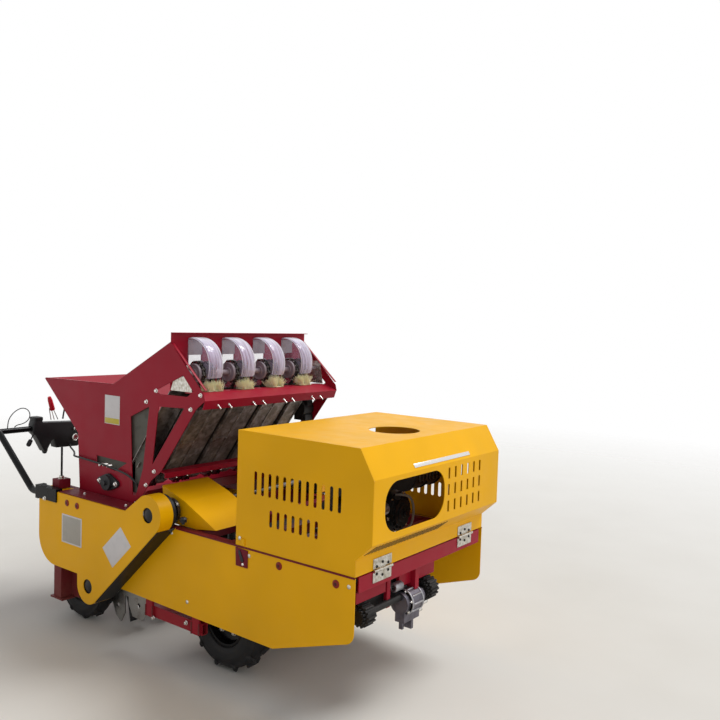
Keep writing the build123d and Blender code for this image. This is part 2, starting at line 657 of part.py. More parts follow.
# Elevator board: the bin's front wall, between the rising and the falling chain
BOARD_START = 70
CHEEK_Y = 347
CHEEK_DEPTH = 95
CHEEK_END = 480
board_end = (PANEL_X - on_line(0, -DUCT_BACK)[0]) / along[0]
with BuildPart() as elevator_board:
    with BuildSketch(at_y(HOPPER_IN)):
        Polygon(*bent_sheet([on_line(BOARD_START, -DUCT_BACK), on_line(board_end - 4, -DUCT_BACK)], SHEET))
    extrude(amount=2 * HOPPER_IN)
    # a cheek beside each outer elevator
    for side, sign in SIDES:
        low, high = side_span(sign, CHEEK_Y - 2, CHEEK_Y)
        extrude(face_of(at_y(high), on_line(BOARD_START, -CHEEK_DEPTH), on_line(CHEEK_END, -CHEEK_DEPTH),
                        on_line(CHEEK_END, DUCT_BACK - 8), on_line(BOARD_START, DUCT_BACK - 8)), amount=2)
save(elevator_board, "elevator_board")

# Back panel behind the hoods, slotted for the cup chains
CUP_SLOT_Z = (1190, 1330)
CHAIN_SLOT_Z = (1190, 1262)
with BuildPart() as back_panel:
    block((PANEL_X - SHEET, PANEL_X), (-HOPPER_IN, HOPPER_IN), (SHELF_TOP - 2, PANEL_TOP))
    block((PANEL_X - SHEET, PANEL_X + 22), (-HOPPER_IN, HOPPER_IN), (PANEL_TOP - SHEET, PANEL_TOP))
    for y in ROW_YS:
        block((PANEL_X - 10, PANEL_X + 10), (y - CUP_WIDTH / 2 - 6, y + CUP_WIDTH / 2 + 6), CUP_SLOT_Z,
              mode=Mode.SUBTRACT)
        block((PANEL_X - 10, PANEL_X + 10), (y - DRIVE_CHAIN_OFFSET - 9, y - DRIVE_CHAIN_OFFSET + 9), CHAIN_SLOT_Z,
              mode=Mode.SUBTRACT)
save(back_panel, "back_panel")

# Metering lip and the lower tie rail across the front of the hopper unit
with BuildPart() as cross_angles:
    with BuildSketch(at_y(HOPPER_IN)):
        Polygon(*bent_sheet([*LIP, (SHELF_X[1], SHELF_TOP), (SHELF_X[0], SHELF_TOP)], TUBE_WALL))
    extrude(amount=2 * HOPPER_IN)
    for y in ROW_YS:
        block((SHELF_X[0] - 5, SHELF_X[0] + 35), (y - CUP_WIDTH / 2 - 4, y + CUP_WIDTH / 2 + 4),
              (SHELF_TOP - 10, SHELF_TOP + 5), mode=Mode.SUBTRACT)
    with BuildSketch(at_y(HOPPER_IN)):
        Polygon(*bent_sheet([(TIE_X + TIE_SIZE, TIE_Z), (TIE_X + TIE_SIZE, TIE_Z + TIE_DROP),
                             (TIE_X, TIE_Z + TIE_DROP + 6)], TUBE_WALL))
    extrude(amount=2 * HOPPER_IN)
save(cross_angles, "cross_angles")

# Seed ducts: a channel a row round the falling cups, on a plain front sheet slotted for the drive chains
DUCT_START = 95
DUCT_END = 500
DUCT_STRIP = 30
PLAIN_SHEET_OUT = 80
PLAIN_SHEET_GAP = 8
with BuildPart() as seed_ducts:
    for y in ROW_YS:
        extrude(face_of(at_y(y + DUCT_WIDTH / 2), on_line(DUCT_START, DUCT_BACK), on_line(DUCT_END, DUCT_BACK),
                        on_line(DUCT_END, DUCT_FRONT), on_line(DUCT_START, DUCT_FRONT)), amount=DUCT_WIDTH)
        extrude(face_of(at_y(y + DUCT_WIDTH / 2 - SHEET),
                        on_line(DUCT_START - 5, DUCT_BACK - 5), on_line(DUCT_END + 5, DUCT_BACK - 5),
                        on_line(DUCT_END + 5, DUCT_FRONT - SHEET), on_line(DUCT_START - 5, DUCT_FRONT - SHEET)),
                amount=DUCT_WIDTH - 2 * SHEET, mode=Mode.SUBTRACT)
        if y < ROW_YS[-1]:
            sheet_end = y + ROW_PITCH - DUCT_WIDTH / 2
            extrude(face_of(at_y(sheet_end), on_line(DUCT_START, PLAIN_SHEET_OUT), on_line(DUCT_END, PLAIN_SHEET_OUT),
                            on_line(DUCT_END, PLAIN_SHEET_OUT + SHEET), on_line(DUCT_START, PLAIN_SHEET_OUT + SHEET)),
                    amount=ROW_PITCH - DUCT_WIDTH - PLAIN_SHEET_GAP)
    # a strip across each end carries the sheets between the hopper sides
    for start in (DUCT_START, DUCT_END - DUCT_STRIP):
        extrude(face_of(at_y(HOPPER_IN - SEAT_GAP), on_line(start, DUCT_BACK), on_line(start + DUCT_STRIP, DUCT_BACK),
                        on_line(start + DUCT_STRIP, DUCT_BACK + SHEET), on_line(start, DUCT_BACK + SHEET)),
                amount=2 * (HOPPER_IN - SEAT_GAP))
save(seed_ducts, "seed_ducts")

# Elevator shafts: each row has a wheel beside its hood and one inside it, above and below
with BuildPart() as elevator_shafts:
    for x, z in ((TOP_WHEEL_X, TOP_WHEEL_Z), (BOTTOM_WHEEL_X, BOTTOM_WHEEL_Z)):
        across(x, z, SHAFT_R - 2, -HOPPER_IN, HOPPER_IN)
        for y in ROW_YS:
            across(x, z, CHAIN_LINE_R - 4, y - DRIVE_CHAIN_OFFSET - 5, y - DRIVE_CHAIN_OFFSET + 5)
            across(x, z, CHAIN_LINE_R - 4, y - 12, y + 12)
save(elevator_shafts, "elevator_shafts")


def chain_loop(y, width):
    """A chain as one closed band round the two elevator wheels, added to the piece in hand."""
    plane = at_y(y + width / 2)
    with BuildSketch(plane) as band:
        for x, z in ((TOP_WHEEL_X, TOP_WHEEL_Z), (BOTTOM_WHEEL_X, BOTTOM_WHEEL_Z)):
            with Locations((x, z)):
                Circle(CHAIN_LINE_R + CHAIN_DEPTH / 2)
        make_hull()
        with BuildSketch(plane, mode=Mode.SUBTRACT):
            for x, z in ((TOP_WHEEL_X, TOP_WHEEL_Z), (BOTTOM_WHEEL_X, BOTTOM_WHEEL_Z)):
                with Locations((x, z)):
                    Circle(CHAIN_LINE_R - 4)
            make_hull()
    extrude(band.sketch, amount=width)


with BuildPart() as drive_chains:
    for y in ROW_YS:
        chain_loop(y - DRIVE_CHAIN_OFFSET, DRIVE_CHAIN_WIDTH)
save(drive_chains, "drive_chains")

# Cup chains: seed cups at even steps along both runs of each loop
cup_steps = range(int(run // CUP_PITCH) + 1)
with BuildPart() as cup_chains:
    for y in ROW_YS:
        chain_loop(y, 24)
        for step in cup_steps:
            # no cup stands in front at the top, where the hood comes down
            for hand in (-1, 1) if step < cup_steps[-1] else (-1,):
                inner = hand * (CHAIN_LINE_R + CHAIN_DEPTH / 2 - 1)
                outer = hand * CUP_REACH
                base = 20 + step * CUP_PITCH
                with BuildSketch(at_y(y + CUP_WIDTH / 2)) as cup:
                    Polygon(on_line(base, inner), on_line(base + 34, inner), on_line(base + 40, outer),
                            on_line(base + 10, outer))
                extrude(cup.sketch, amount=CUP_WIDTH)
save(cup_chains, "cup_chains")

# Clear hoods over the cup chains: a D-shaped shell, open behind and below, higher in front over the brush
hood_top = HOOD_Z + HOOD_R
hood_front = HOOD_X + HOOD_R
HOOD_EDGE = ((PANEL_X + SEAT_GAP, SHELF_TOP + SEAT_GAP), (HOOD_FOOT[0], SHELF_TOP + SEAT_GAP), HOOD_FOOT,
             (hood_front, HOOD_FOOT[1]), (hood_front, hood_top), (PANEL_X + SEAT_GAP, hood_top))
HOOD_INSIDE = ((PANEL_X - 5, SHELF_TOP - 5), (hood_front, SHELF_TOP - 5), (hood_front, hood_top),
               (PANEL_X - 5, hood_top))
with BuildPart() as metering_hoods:
    for y in ROW_YS:
        for wall, mode in ((0, Mode.ADD), (SHEET, Mode.SUBTRACT)):
            with BuildSketch(at_y(y + HOOD_WIDTH / 2 - wall)) as hood:
                with Locations((HOOD_X, HOOD_Z)):
                    Circle(HOOD_R - wall)
                with BuildSketch(at_y(y + HOOD_WIDTH / 2 - wall), mode=Mode.INTERSECT):
                    Polygon(*(HOOD_EDGE if wall == 0 else HOOD_INSIDE))
            extrude(hood.sketch, amount=HOOD_WIDTH - 2 * wall, mode=mode)
        across(TOP_WHEEL_X, TOP_WHEEL_Z, SHAFT_R, y - HOOD_WIDTH, y + HOOD_WIDTH, mode=Mode.SUBTRACT)
save(metering_hoods, "metering_hoods")

# Brushes at the hoods' feet that level the cups
BRUSH_POINTS = ((284, 1177.5), (316, 1222), (322, 1232), (344, 1232), (344, 1177.5))
BRUSH_Y = (-32, 52)
with BuildPart() as metering_brushes:
    for y in ROW_YS:
        extrude(face_of(at_y(y + BRUSH_Y[1]), *BRUSH_POINTS), amount=BRUSH_Y[1] - BRUSH_Y[0])
save(metering_brushes, "metering_brushes")

# Bearing brackets for the metering shaft, inside the hopper sides
BRACKET_POINTS = ((PANEL_X + 1, SHELF_TOP + 2), (234, 1292), (298, 1292), (322, SHELF_TOP + 2))
with BuildPart() as bearing_brackets:
    for side, sign in SIDES:
        low, high = side_span(sign, HOPPER_IN - SEAT_GAP - 4, HOPPER_IN - SEAT_GAP)
        extrude(face_of(at_y(high), *BRACKET_POINTS), amount=high - low)
        across(TOP_WHEEL_X, TOP_WHEEL_Z, SHAFT_R - 2, low - 1, high + 1, mode=Mode.SUBTRACT)
save(bearing_brackets, "bearing_brackets")

# Drop tubes from the ducts down to the planting units
TUBE_R = 22
TUBE_TOP = 651.2
BEAK_TOP = 300
with BuildPart() as drop_tubes:
    for y in ROW_YS:
        with BuildLine() as route:
            Polyline((-60, y, TUBE_TOP), (-60, y, 540), (-178, y, 330), (-178, y, BEAK_TOP + SEAT_GAP))
        with BuildSketch(Plane(origin=(-60, y, TUBE_TOP), z_dir=(0, 0, -1))):
            Circle(TUBE_R)
        sweep(path=route.line, transition=Transition.RIGHT)
save(drop_tubes, "drop_tubes")

# Planting units: a beak a row between two cranked plates on the planting shaft
BEAK_POINTS = ((-198, BEAK_TOP), (-152, BEAK_TOP), (-160, 150), (-208, 22), (-235, 140), (-198, 215))
PLATE_REAR = ((-343, 128), (-290, 150), (-235, 205), (-232, 62), (-262, 14), (-302, 40))
PLATE_FRONT = ((-205, 205), (-150, 190), (-62, 172), (-58, 108), (-98, 58), (-172, 62), (-205, 120))
with BuildPart() as planting_beaks:
    for y in ROW_YS:
        extrude(face_of(at_y(y + 28), *BEAK_POINTS), amount=56)
save(planting_beaks, "planting_beaks")

with BuildPart() as planting_plates:
    for y in ROW_YS:
        for offset_y in (-42, 36):
            with BuildSketch(at_y(y + offset_y + 6)) as plate:
                Polygon(*PLATE_REAR)
                Polygon(*PLATE_FRONT)
                with Locations((LOBE_X, LOBE_Z)):
                    Circle(34)
                Polygon((-252, 252), (-184, 252), (-190, 150), (-248, 150))
                for x, z in ((-285, 90), (-128, 125)):
                    with Locations((x, z)):
                        Rectangle(20, 20, rotation=45, mode=Mode.SUBTRACT)
                with Locations((LOBE_X, LOBE_Z)):
                    Circle(SHAFT_R, mode=Mode.SUBTRACT)
            extrude(plate.sketch, amount=6)
save(planting_plates, "planting_plates")

# Rear wheel legs: a square tube with a wheel plate and a stub axle, under an adjusting screw
rear_hub_in = REAR_Y - REAR_WIDTH / 2 + 6
rear_hub_out = REAR_Y + REAR_WIDTH / 2 - 2
leg_in = LEG_Y - LEG_SIZE / 2
with BuildPart() as wheel_legs:
    for side, sign in SIDES:
        block((LEG_X - LEG_SIZE / 2, LEG_X + LEG_SIZE / 2), side_span(sign, leg_in, leg_in + LEG_SIZE),
              (LEG_BOTTOM, LEG_TOP))
        block((LEG_X - 80, REAR_AXLE_X + 45), side_span(sign, leg_in - LEG_PLATE, leg_in), (LEG_BOTTOM, 250))
        block((LEG_X - 50, LEG_X + 50), side_span(sign, leg_in - LEG_PLATE, leg_in + LEG_SIZE + 6),
              (LEG_BOTTOM - 8, LEG_BOTTOM))
        across(REAR_AXLE_X, REAR_R, REAR_SHAFT_R, sign * leg_in, sign * (rear_hub_in - MOVING_GAP))
        across(REAR_AXLE_X, REAR_R, REAR_SHAFT_R + 9, sign * (rear_hub_in - 1), sign * (rear_hub_in - 9))
        across(REAR_AXLE_X, REAR_R, REAR_SHAFT_R + 6, sign * (rear_hub_out + 1), sign * leg_in)
save(wheel_legs, "wheel_legs")

with BuildPart() as leg_screws:
    for side, sign in SIDES:
        with Locations((LEG_X, sign * LEG_Y, (LEG_TOP + SCREW_TOP) / 2)):
            Cylinder(SCREW_R, SCREW_TOP - LEG_TOP)
        with Locations((LEG_X, sign * LEG_Y, SCREW_TOP - 5)):
            Cylinder(SCREW_R + 8, 10)
        block((LEG_X - NUT_BLOCK / 2, LEG_X + NUT_BLOCK / 2),
              side_span(sign, LEG_Y - NUT_BLOCK / 2, LEG_Y + NUT_BLOCK / 2), (CASE_TOP, CASE_TOP + NUT_HEIGHT))
save(leg_screws, "leg_screws")

# Handlebar: an arm clamped to each rear corner and a crossbar between the arms
with BuildPart() as handlebar:
    for side, sign in SIDES:
        y = sign * BAR_Y
        with BuildLine() as arm:
            FilletPolyline((BAR_START[0], y, BAR_START[1]), (BAR_KNEE[0] - 20, y, BAR_START[1]),
                           (BAR_SHOULDER[0], y, BAR_SHOULDER[1]), (BAR_END + GRIP_LENGTH, y, BAR_SHOULDER[1]),
                           radius=BAR_BEND)
        with BuildSketch(Plane(origin=(BAR_START[0], y, BAR_START[1]), z_dir=(-1, 0, 0))):
            Circle(BAR_R)
        sweep(path=arm.line)
    for side, sign in SIDES:
        ys = side_span(sign, BAR_Y - 26, CLAMP_OUT)
        block((BAR_START[0], CASE_REAR - SEAT_GAP), ys, (BAR_START[1] - 26, CASE_TOP + 12))
        block((CASE_REAR - SEAT_GAP, CLAMP_FRONT), side_span(sign, BAR_Y - 14, CLAMP_OUT),
              (CASE_TOP + SEAT_GAP, CASE_TOP + 12))
        block((CASE_REAR - SEAT_GAP, CLAMP_FRONT), side_span(sign, CASE_OUT + SEAT_GAP, CLAMP_OUT),
              (CLAMP_BOTTOM, CASE_TOP + 12))
    across(CROSSBAR_X, BAR_SHOULDER[1], CROSSBAR_R, -BAR_Y, BAR_Y)
save(handlebar, "handlebar")

# Grips on the arms' ends
with BuildPart() as handle_grips:
    for side, sign in SIDES:
        with BuildSketch(Plane(origin=(BAR_END + GRIP_LENGTH, sign * BAR_Y, BAR_SHOULDER[1]), z_dir=(-1, 0, 0))):
            Circle(GRIP_R)
        extrude(amount=GRIP_LENGTH)
save(handle_grips, "handle_grips")

# Control box on the crossbar, with its levers
CONSOLE_POINTS = ((-343, 912), (-51, 912), (-50, 778), (-262, 731), (-332, 739))
CONSOLE_DEPTH = 56
LEVERS = ((-226, 112, 6), (-160, 62, 6), (-96, 52, 6))
with BuildPart() as control_box:
    with BuildSketch(Plane.YZ.offset(CROSSBAR_X - CONSOLE_DEPTH / 2)):
        Polygon(*CONSOLE_POINTS)
    extrude(amount=CONSOLE_DEPTH)
    across(CROSSBAR_X, BAR_SHOULDER[1], CROSSBAR_R, -BAR_Y, 0, mode=Mode.SUBTRACT)
save(control_box, "control_box")

console_top = CONSOLE_POINTS[0][1]
with BuildPart() as control_levers:
    for y, height, radius in LEVERS:
        with Locations((CROSSBAR_X, y, console_top + height / 2)):
            Cylinder(radius, height)
        with Locations((CROSSBAR_X, y, console_top + height)):
            Cylinder(radius + 6, 44)
save(control_levers, "control_levers")

# Cables: one from the control box to the elevator drive inside the hopper side, one in a loop on the crossbar
CLUTCH_CABLE = (
    (-1045, -130, 757), (-1030, -142, 715), (-960, -175, 680), (-860, -235, 678), (-750, -310, 706),
    (-645, -380, 752), (-545, -432, 795), (-440, -449, 808), (-332, -447, 800), (-214, -448, 786),
    (-120, -447, 778), (-70, -446, 765), (-42, -434, 742), (-34, -414, 712), (-32, -410, 684), (-32, -408, 655),
)
LOOP_CABLE = (
    (-1070, -480, 881.3), (-1070, -479, 912), (-1068, -466, 944), (-1066, -438, 972), (-1064, -400, 986),
    (-1064, -366, 970), (-1064, -356, 936), (-1066, -374, 908), (-1068, -404, 896), (-1070, -430, 894),
    (-1070, -442, 883.2),
)
with BuildPart() as control_cables:
    cord_tube(CLUTCH_CABLE, 9)
    cord_tube(LOOP_CABLE, 5)
save(control_cables, "control_cables")

# Elevator drive's flange bearing on the hopper side, with two bolting ears
FLANGE = (-234, 715)
with BuildPart() as drive_flange:
    for side, sign in SIDES:
        with BuildSketch(at_y(side_span(sign, HOPPER_HALF + SEAT_GAP, HOPPER_HALF + FLANGE_THICKNESS)[1])) as ears:
            with Locations(FLANGE):
                Circle(40)
            for along_x in (-1, 1):
                with Locations((FLANGE[0] + along_x * 62, FLANGE[1])):
                    Circle(16)
            make_hull()
        extrude(ears.sketch, amount=FLANGE_THICKNESS - SEAT_GAP)
        across(*FLANGE, 36, *side_span(sign, HOPPER_HALF + FLANGE_THICKNESS, HOPPER_HALF + 26))
        across(*FLANGE, 12, *side_span(sign, HOPPER_HALF + 26, HOPPER_HALF + 38))
save(drive_flange, "drive_flange")

# Metering motor under the shelf, on the left hopper side
with BuildPart() as metering_motor:
    across(MOTOR_X, MOTOR_Z, 40, 362, HOPPER_IN - SEAT_GAP)
    across(MOTOR_X + 22, MOTOR_Z + 30, 22, 380, 420)
    block((MOTOR_X - 42, MOTOR_X + 34), (376, HOPPER_IN - SEAT_GAP), (MOTOR_Z - 60, MOTOR_Z - 30))
save(metering_motor, "metering_motor")

# Engine cover: the folded shell from the rear edge over the top and down the nose
COVER_PATH = ((COVER_REAR, COVER_TOP), (COVER_TOP_FRONT, COVER_TOP), (COVER_NOSE, COVER_NOSE_TOP),
              (COVER_NOSE, COVER_NOSE_BOTTOM), (BEAM_FACE, COVER_SKIRT_TOP), (BEAM_FACE, COVER_BOTTOM))
with BuildPart() as cover_shell:
    with BuildSketch(at_y(RAIL_OUT)):
        Polygon(*bent_sheet(list(COVER_PATH), -SHEET))
    extrude(amount=2 * RAIL_OUT)
    # round filler opening in the top
    with Locations((FILLER_X, FILLER_Y, COVER_TOP)):
        Cylinder(FILLER_R, 20, mode=Mode.SUBTRACT)
    # window and vent slots in the nose
    with BuildSketch(Plane.YZ.offset(COVER_NOSE - 20)):
        with Locations((WINDOW_Y, WINDOW_Z)):
            RectangleRounded(WINDOW_WIDTH, WINDOW_HEIGHT, WINDOW_CORNER)
        with Locations((170, 845)):
            with GridLocations(50, 66, 6, 3):
                Rectangle(*NOSE_SLOT)
    extrude(amount=40, mode=Mode.SUBTRACT)
    # diagonal slots in the bevel under the nose
    with BuildSketch(Plane.YZ.offset(BEAM_FACE + 4)):
        for slot in range(BEVEL_SLOTS):
            y = BEVEL_SLOT_START + slot * BEVEL_SLOT_PITCH
            Polygon((y, 677), (y + 7, 677), (y + 29, 710), (y + 22, 710))
    extrude(amount=COVER_NOSE - BEAM_FACE, mode=Mode.SUBTRACT)
save(cover_shell, "cover_shell")

# Cover sides: flat sheets with two rows of plain vent slots
SIDE_SLOT_ROWS = ((952, 862, 12, 92), (942, 735, 7, 66))
with BuildPart() as cover_sides:
    for side, sign in SIDES:
        low, high = side_span(sign, RAIL_OUT, HALF_WIDTH)
        with BuildSketch(at_y(high)):
            Polygon(*COVER_PATH, (COVER_REAR, COVER_BOTTOM))
            for x, z, count, height in SIDE_SLOT_ROWS:
                with Locations((x, z)):
                    with GridLocations(38, 1, count, 1):
                        SlotOverall(height, SIDE_SLOT_WIDTH, rotation=90, mode=Mode.SUBTRACT)
        extrude(amount=SHEET)
save(cover_sides, "cover_sides")

# Butt hinges between the beam and the cover: the fixed leaves hold the pins
knuckle = HINGE_WIDTH / 3
with BuildPart() as hinge_leaves:
    for y in HINGE_YS:
        block((BEAM_FACE, BEAM_FACE + HINGE_PLATE), (y - HINGE_WIDTH / 2, y + HINGE_WIDTH / 2),
              (RAIL_TOP - HINGE_LEAF, RAIL_TOP - 3))
        for hand in (-1, 1):
            inner = y + hand * (knuckle / 2 + 0.5)
            outer = y + hand * HINGE_WIDTH / 2
            across(HINGE_X, HINGE_Z, KNUCKLE_R, inner, outer)
            block((BEAM_FACE, BEAM_FACE + HINGE_PLATE), tuple(sorted((inner, outer))), (RAIL_TOP - 8, HINGE_Z))
        across(HINGE_X, HINGE_Z, HINGE_PIN_R, y - HINGE_WIDTH / 2, y + HINGE_WIDTH / 2)
save(hinge_leaves, "hinge_leaves")

with BuildPart() as cover_leaves:
    for y in HINGE_YS:
        block((BEAM_FACE, BEAM_FACE + HINGE_PLATE), (y - HINGE_WIDTH / 2, y + HINGE_WIDTH / 2),
              (COVER_BOTTOM + 5, COVER_BOTTOM + HINGE_LEAF))
        ys = (y - knuckle / 2 + 0.5, y + knuckle / 2 - 0.5)
        block((BEAM_FACE, BEAM_FACE + HINGE_PLATE), ys, (HINGE_Z, COVER_BOTTOM + 8))
        across(HINGE_X, HINGE_Z, KNUCKLE_R, *ys)
        across(HINGE_X, HINGE_Z, HINGE_PIN_R + RUNNING_FIT, *ys, mode=Mode.SUBTRACT)
save(cover_leaves, "cover_leaves")

# Cover latches: a draw catch hung on each cover side, over the skirt
with BuildPart() as cover_latches:
    for side, sign in SIDES:
        block((672, 694), side_span(sign, HALF_WIDTH, HALF_WIDTH + 8), (COVER_BOTTOM + 2, COVER_BOTTOM + 34))
save(cover_latches, "cover_latches")

# Wheels: a tyre with chevron lugs on a dished rim with its hub
# name, axle X, radius, width, middle Y, rim radius, hub radius, shaft radius, hub's inner and outer Y,
# lugs a side, lug height, lug thickness, lug's turn from the axle in degrees
WHEELS = (
    ("drive", DRIVE_AXLE_X, DRIVE_R, DRIVE_WIDTH, DRIVE_Y, DRIVE_RIM_R, HUB_R, DRIVE_SHAFT_R,
     drive_hub_in, drive_hub_out, 11, 15, 15, 35),
    ("rear", REAR_AXLE_X, REAR_R, REAR_WIDTH, REAR_Y, REAR_RIM_R, HUB_R - 8, REAR_SHAFT_R,
     rear_hub_in, rear_hub_out, 10, 8, 14, 20),
)
LUG_ROOT = 8
for (name, x, radius, width, y, rim_r, hub_r, shaft_r, hub_in, hub_out,
     lug_count, lug_height, lug_thickness, lug_turn) in WHEELS:
    turn = radians(lug_turn)
    for side, sign in SIDES:
        axle = Axis((x, sign * y, radius), (0, 1, 0))
        with BuildPart() as lugs:
            for lug in range(lug_count):
                for hand in (-1, 1):
                    around = radians(360 * (lug + 0.25 * hand) / lug_count)
                    out = (cos(around), 0, sin(around))
                    middle_r = radius - (lug_height + LUG_ROOT) / 2
                    origin = (x + middle_r * out[0], sign * y + hand * width / 4, radius + middle_r * out[2])
                    length_way = (-out[2] * sin(turn), hand * cos(turn), out[0] * sin(turn))
                    with Locations(Plane(origin=origin, x_dir=length_way, z_dir=out)):
                        Box(width / 2 / cos(turn), lug_thickness, lug_height + LUG_ROOT + 8)
            revolve(tyre_face(x, sign * y, radius, rim_r, radius, width), axis=axle, mode=Mode.INTERSECT)
        with BuildPart() as tyre:
            revolve(tyre_face(x, sign * y, radius, rim_r, radius - lug_height, width), axis=axle)
            add(lugs.part)
        save(tyre, f"{name}_tyre_{side}")
        with BuildPart() as rim:
            across(x, radius, rim_r, sign * y - width / 2 + 20, sign * y + width / 2 - 20)
            across(x, radius, rim_r - 8, sign * y - width / 2, sign * y - 5, mode=Mode.SUBTRACT)
            across(x, radius, rim_r - 8, sign * y + 5, sign * y + width / 2, mode=Mode.SUBTRACT)
            across(x, radius, hub_r, sign * hub_in, sign * hub_out)
            across(x, radius, shaft_r + RUNNING_FIT, sign * hub_in, sign * hub_out, mode=Mode.SUBTRACT)
        save(rim, f"{name}_rim_{side}")
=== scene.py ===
"""Looks of a walk-behind garlic planter: finishes for its built pieces, and the pieces modelled on them.

Everything is in metres, in the machine's own frame: X forward, Y to its left, Z up from the ground.
"""

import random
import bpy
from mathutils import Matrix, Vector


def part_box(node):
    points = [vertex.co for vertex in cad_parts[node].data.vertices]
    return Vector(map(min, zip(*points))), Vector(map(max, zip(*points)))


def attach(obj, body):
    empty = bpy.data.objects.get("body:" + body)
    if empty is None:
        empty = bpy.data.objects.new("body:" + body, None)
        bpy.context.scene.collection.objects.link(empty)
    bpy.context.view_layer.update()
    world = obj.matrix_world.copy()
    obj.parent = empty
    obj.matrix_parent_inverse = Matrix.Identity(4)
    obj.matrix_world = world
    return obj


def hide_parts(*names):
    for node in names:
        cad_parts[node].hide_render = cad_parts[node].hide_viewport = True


bl_info = {
    "name": "Garlic Planter Looks",
    "version": (1, 0, 0),
    "blender": (4, 5, 0),
    "location": "3D View > Sidebar > Planter",
    "description": "Models the wheels, chains, hoods, fasteners and finishes of a walk-behind planter",
    "category": "Object",
}

from math import atan2, cos, pi, radians, sin

import bpy
from bpy.props import FloatProperty, FloatVectorProperty, IntProperty, PointerProperty
from mathutils import Matrix, Vector

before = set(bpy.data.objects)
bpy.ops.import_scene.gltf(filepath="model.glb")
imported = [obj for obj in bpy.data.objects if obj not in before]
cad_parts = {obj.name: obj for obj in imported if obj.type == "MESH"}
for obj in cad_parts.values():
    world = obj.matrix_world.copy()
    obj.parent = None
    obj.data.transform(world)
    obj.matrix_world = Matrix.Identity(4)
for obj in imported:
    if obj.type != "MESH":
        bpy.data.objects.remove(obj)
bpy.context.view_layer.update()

X = Vector((1, 0, 0))
Y = Vector((0, 1, 0))
Z = Vector((0, 0, 1))
SIDES = (-1, 1)

# The photograph's camera: place, lens and the three turns that aim it
CAMERA_AT = Vector((2.849, -2.607, 1.502))
CAMERA_LENS = 38.7
CAMERA_SENSOR = 36.0
CAMERA_AZIMUTH = radians(37.03)
CAMERA_DOWN = radians(2.87)
CAMERA_ROLL = radians(1.76)

# Places that the built pieces share with the modelled ones
ROW_PITCH = 0.200
ROW_YS = (-0.300, -0.100, 0.100, 0.300)
PANEL_X = 0.187
SHELF_Z = 1.177
LIP_EDGE = Vector((0.412, 0, 1.150))
LIP_FOOT = Vector((0.398, 0, 1.112))
HOOD_CENTRE = Vector((0.205, 0, 1.283))
HOOD_R = 0.126
HOOD_FOOT = Vector((0.262, 0, 1.234))
HOOD_HALF = 0.043
TOP_WHEEL = Vector((0.266, 0, 1.254))
LOW_WHEEL = Vector((-0.109, 0, 0.745))
WHEEL_LINE_R = 0.046
DRIVE_CHAIN_Y = -0.057
BOSS = Vector((0.205, 0, 0.655))
LOBE = Vector((-0.218, 0, 0.252))
CASE_CHAIN_Y = 0.512
CASE_LINE_R = 0.071
CASE_FACE_Y = 0.558
HOPPER_Y = 0.437
SKIRT_Y = 0.465
BEAM_X = 1.240
HINGE_YS = (-0.301, 0.308)
HINGE_LINE_Z = 0.5975
GEAR = Vector((1.195, 0, 0.400))
LEG = Vector((-0.518, 0.4923, 0))
SCREW_SHIFT = 0.024
BAR_Y = 0.545
BAR_Z = 0.866
CROSSBAR_X = -1.070
GRIP_START = -1.180
GRIP_END = -1.310


def linear(hex_text):
    """A colour written as sRGB hex, as linear RGBA."""
    values = []
    for place in (0, 2, 4):
        share = int(hex_text[place:place + 2], 16) / 255
        values.append(share / 12.92 if share <= 0.04045 else ((share + 0.055) / 1.055) ** 2.4)
    return (*values, 1.0)


class PlanterColours(bpy.types.PropertyGroup):
    """Colours a user may change."""

    amber: FloatVectorProperty(name="Amber", description="Paint of the cover, the skirts and the cases",
                               subtype="COLOR", size=4, min=0, max=1, default=linear("f2b200"))
    crimson: FloatVectorProperty(name="Crimson", description="Paint of the hopper and the front beam",
                                 subtype="COLOR", size=4, min=0, max=1, default=linear("9c142a"))
    dark_red: FloatVectorProperty(name="Dark red", description="Paint of the frame and the wheel legs",
                                  subtype="COLOR", size=4, min=0, max=1, default=linear("701825"))
    bristle: FloatVectorProperty(name="Bristle", description="Nylon of the cup brushes",
                                 subtype="COLOR", size=4, min=0, max=1, default=linear("f6f1cd"))


class PlanterSizes(bpy.types.PropertyGroup):
    """Sizes a user may change."""

    bolt_across: FloatProperty(name="Bolt size", description="Width of a hexagon head across its flats",
                               default=0.013, min=0.006, max=0.03, unit="LENGTH")
    drive_pitch: FloatProperty(name="Elevator chain pitch", description="Pin to pin, before it is evened out",
                               default=0.0254, min=0.01, max=0.05, unit="LENGTH")
    case_pitch: FloatProperty(name="Case chain pitch", description="Pin to pin, before it is evened out",
                              default=0.0254, min=0.01, max=0.05, unit="LENGTH")
    bristle_length: FloatProperty(name="Bristle length", description="Longest bristle of a cup brush",
                                  default=0.062, min=0.02, max=0.09, unit="LENGTH")
    bristles: IntProperty(name="Bristles", description="Bristles on each brush",
                          default=620, min=50, max=2000)
    edge_round: FloatProperty(name="Edge rounding", description="Radius that sheet edges show in the render",
                              default=0.0022, min=0, max=0.01, unit="LENGTH")


def colours():
    return bpy.context.scene.planter_colours


def sizes():
    return bpy.context.scene.planter_sizes


# Finishes

def add_node(owner, kind, values=(), **links):
    """Add a node, set its values and inputs; an input given another node's socket is linked."""
    tree = owner.node_tree
    node = tree.nodes.new(kind)
    for name, value in dict(values).items():
        setattr(node, name, value)
    for name, value in links.items():
        socket = node.inputs[int(name[1:])] if name[0] == "_" else node.inputs[name.replace("_", " ")]
        if isinstance(value, bpy.types.NodeSocket):
            tree.links.new(value, socket)
        else:
            socket.default_value = value
    return node


def feed(material, node, **sockets):
    """Link sockets to a node's inputs of the same names."""
    for name, socket in sockets.items():
        material.node_tree.links.new(socket, node.inputs[name.replace("_", " ")])


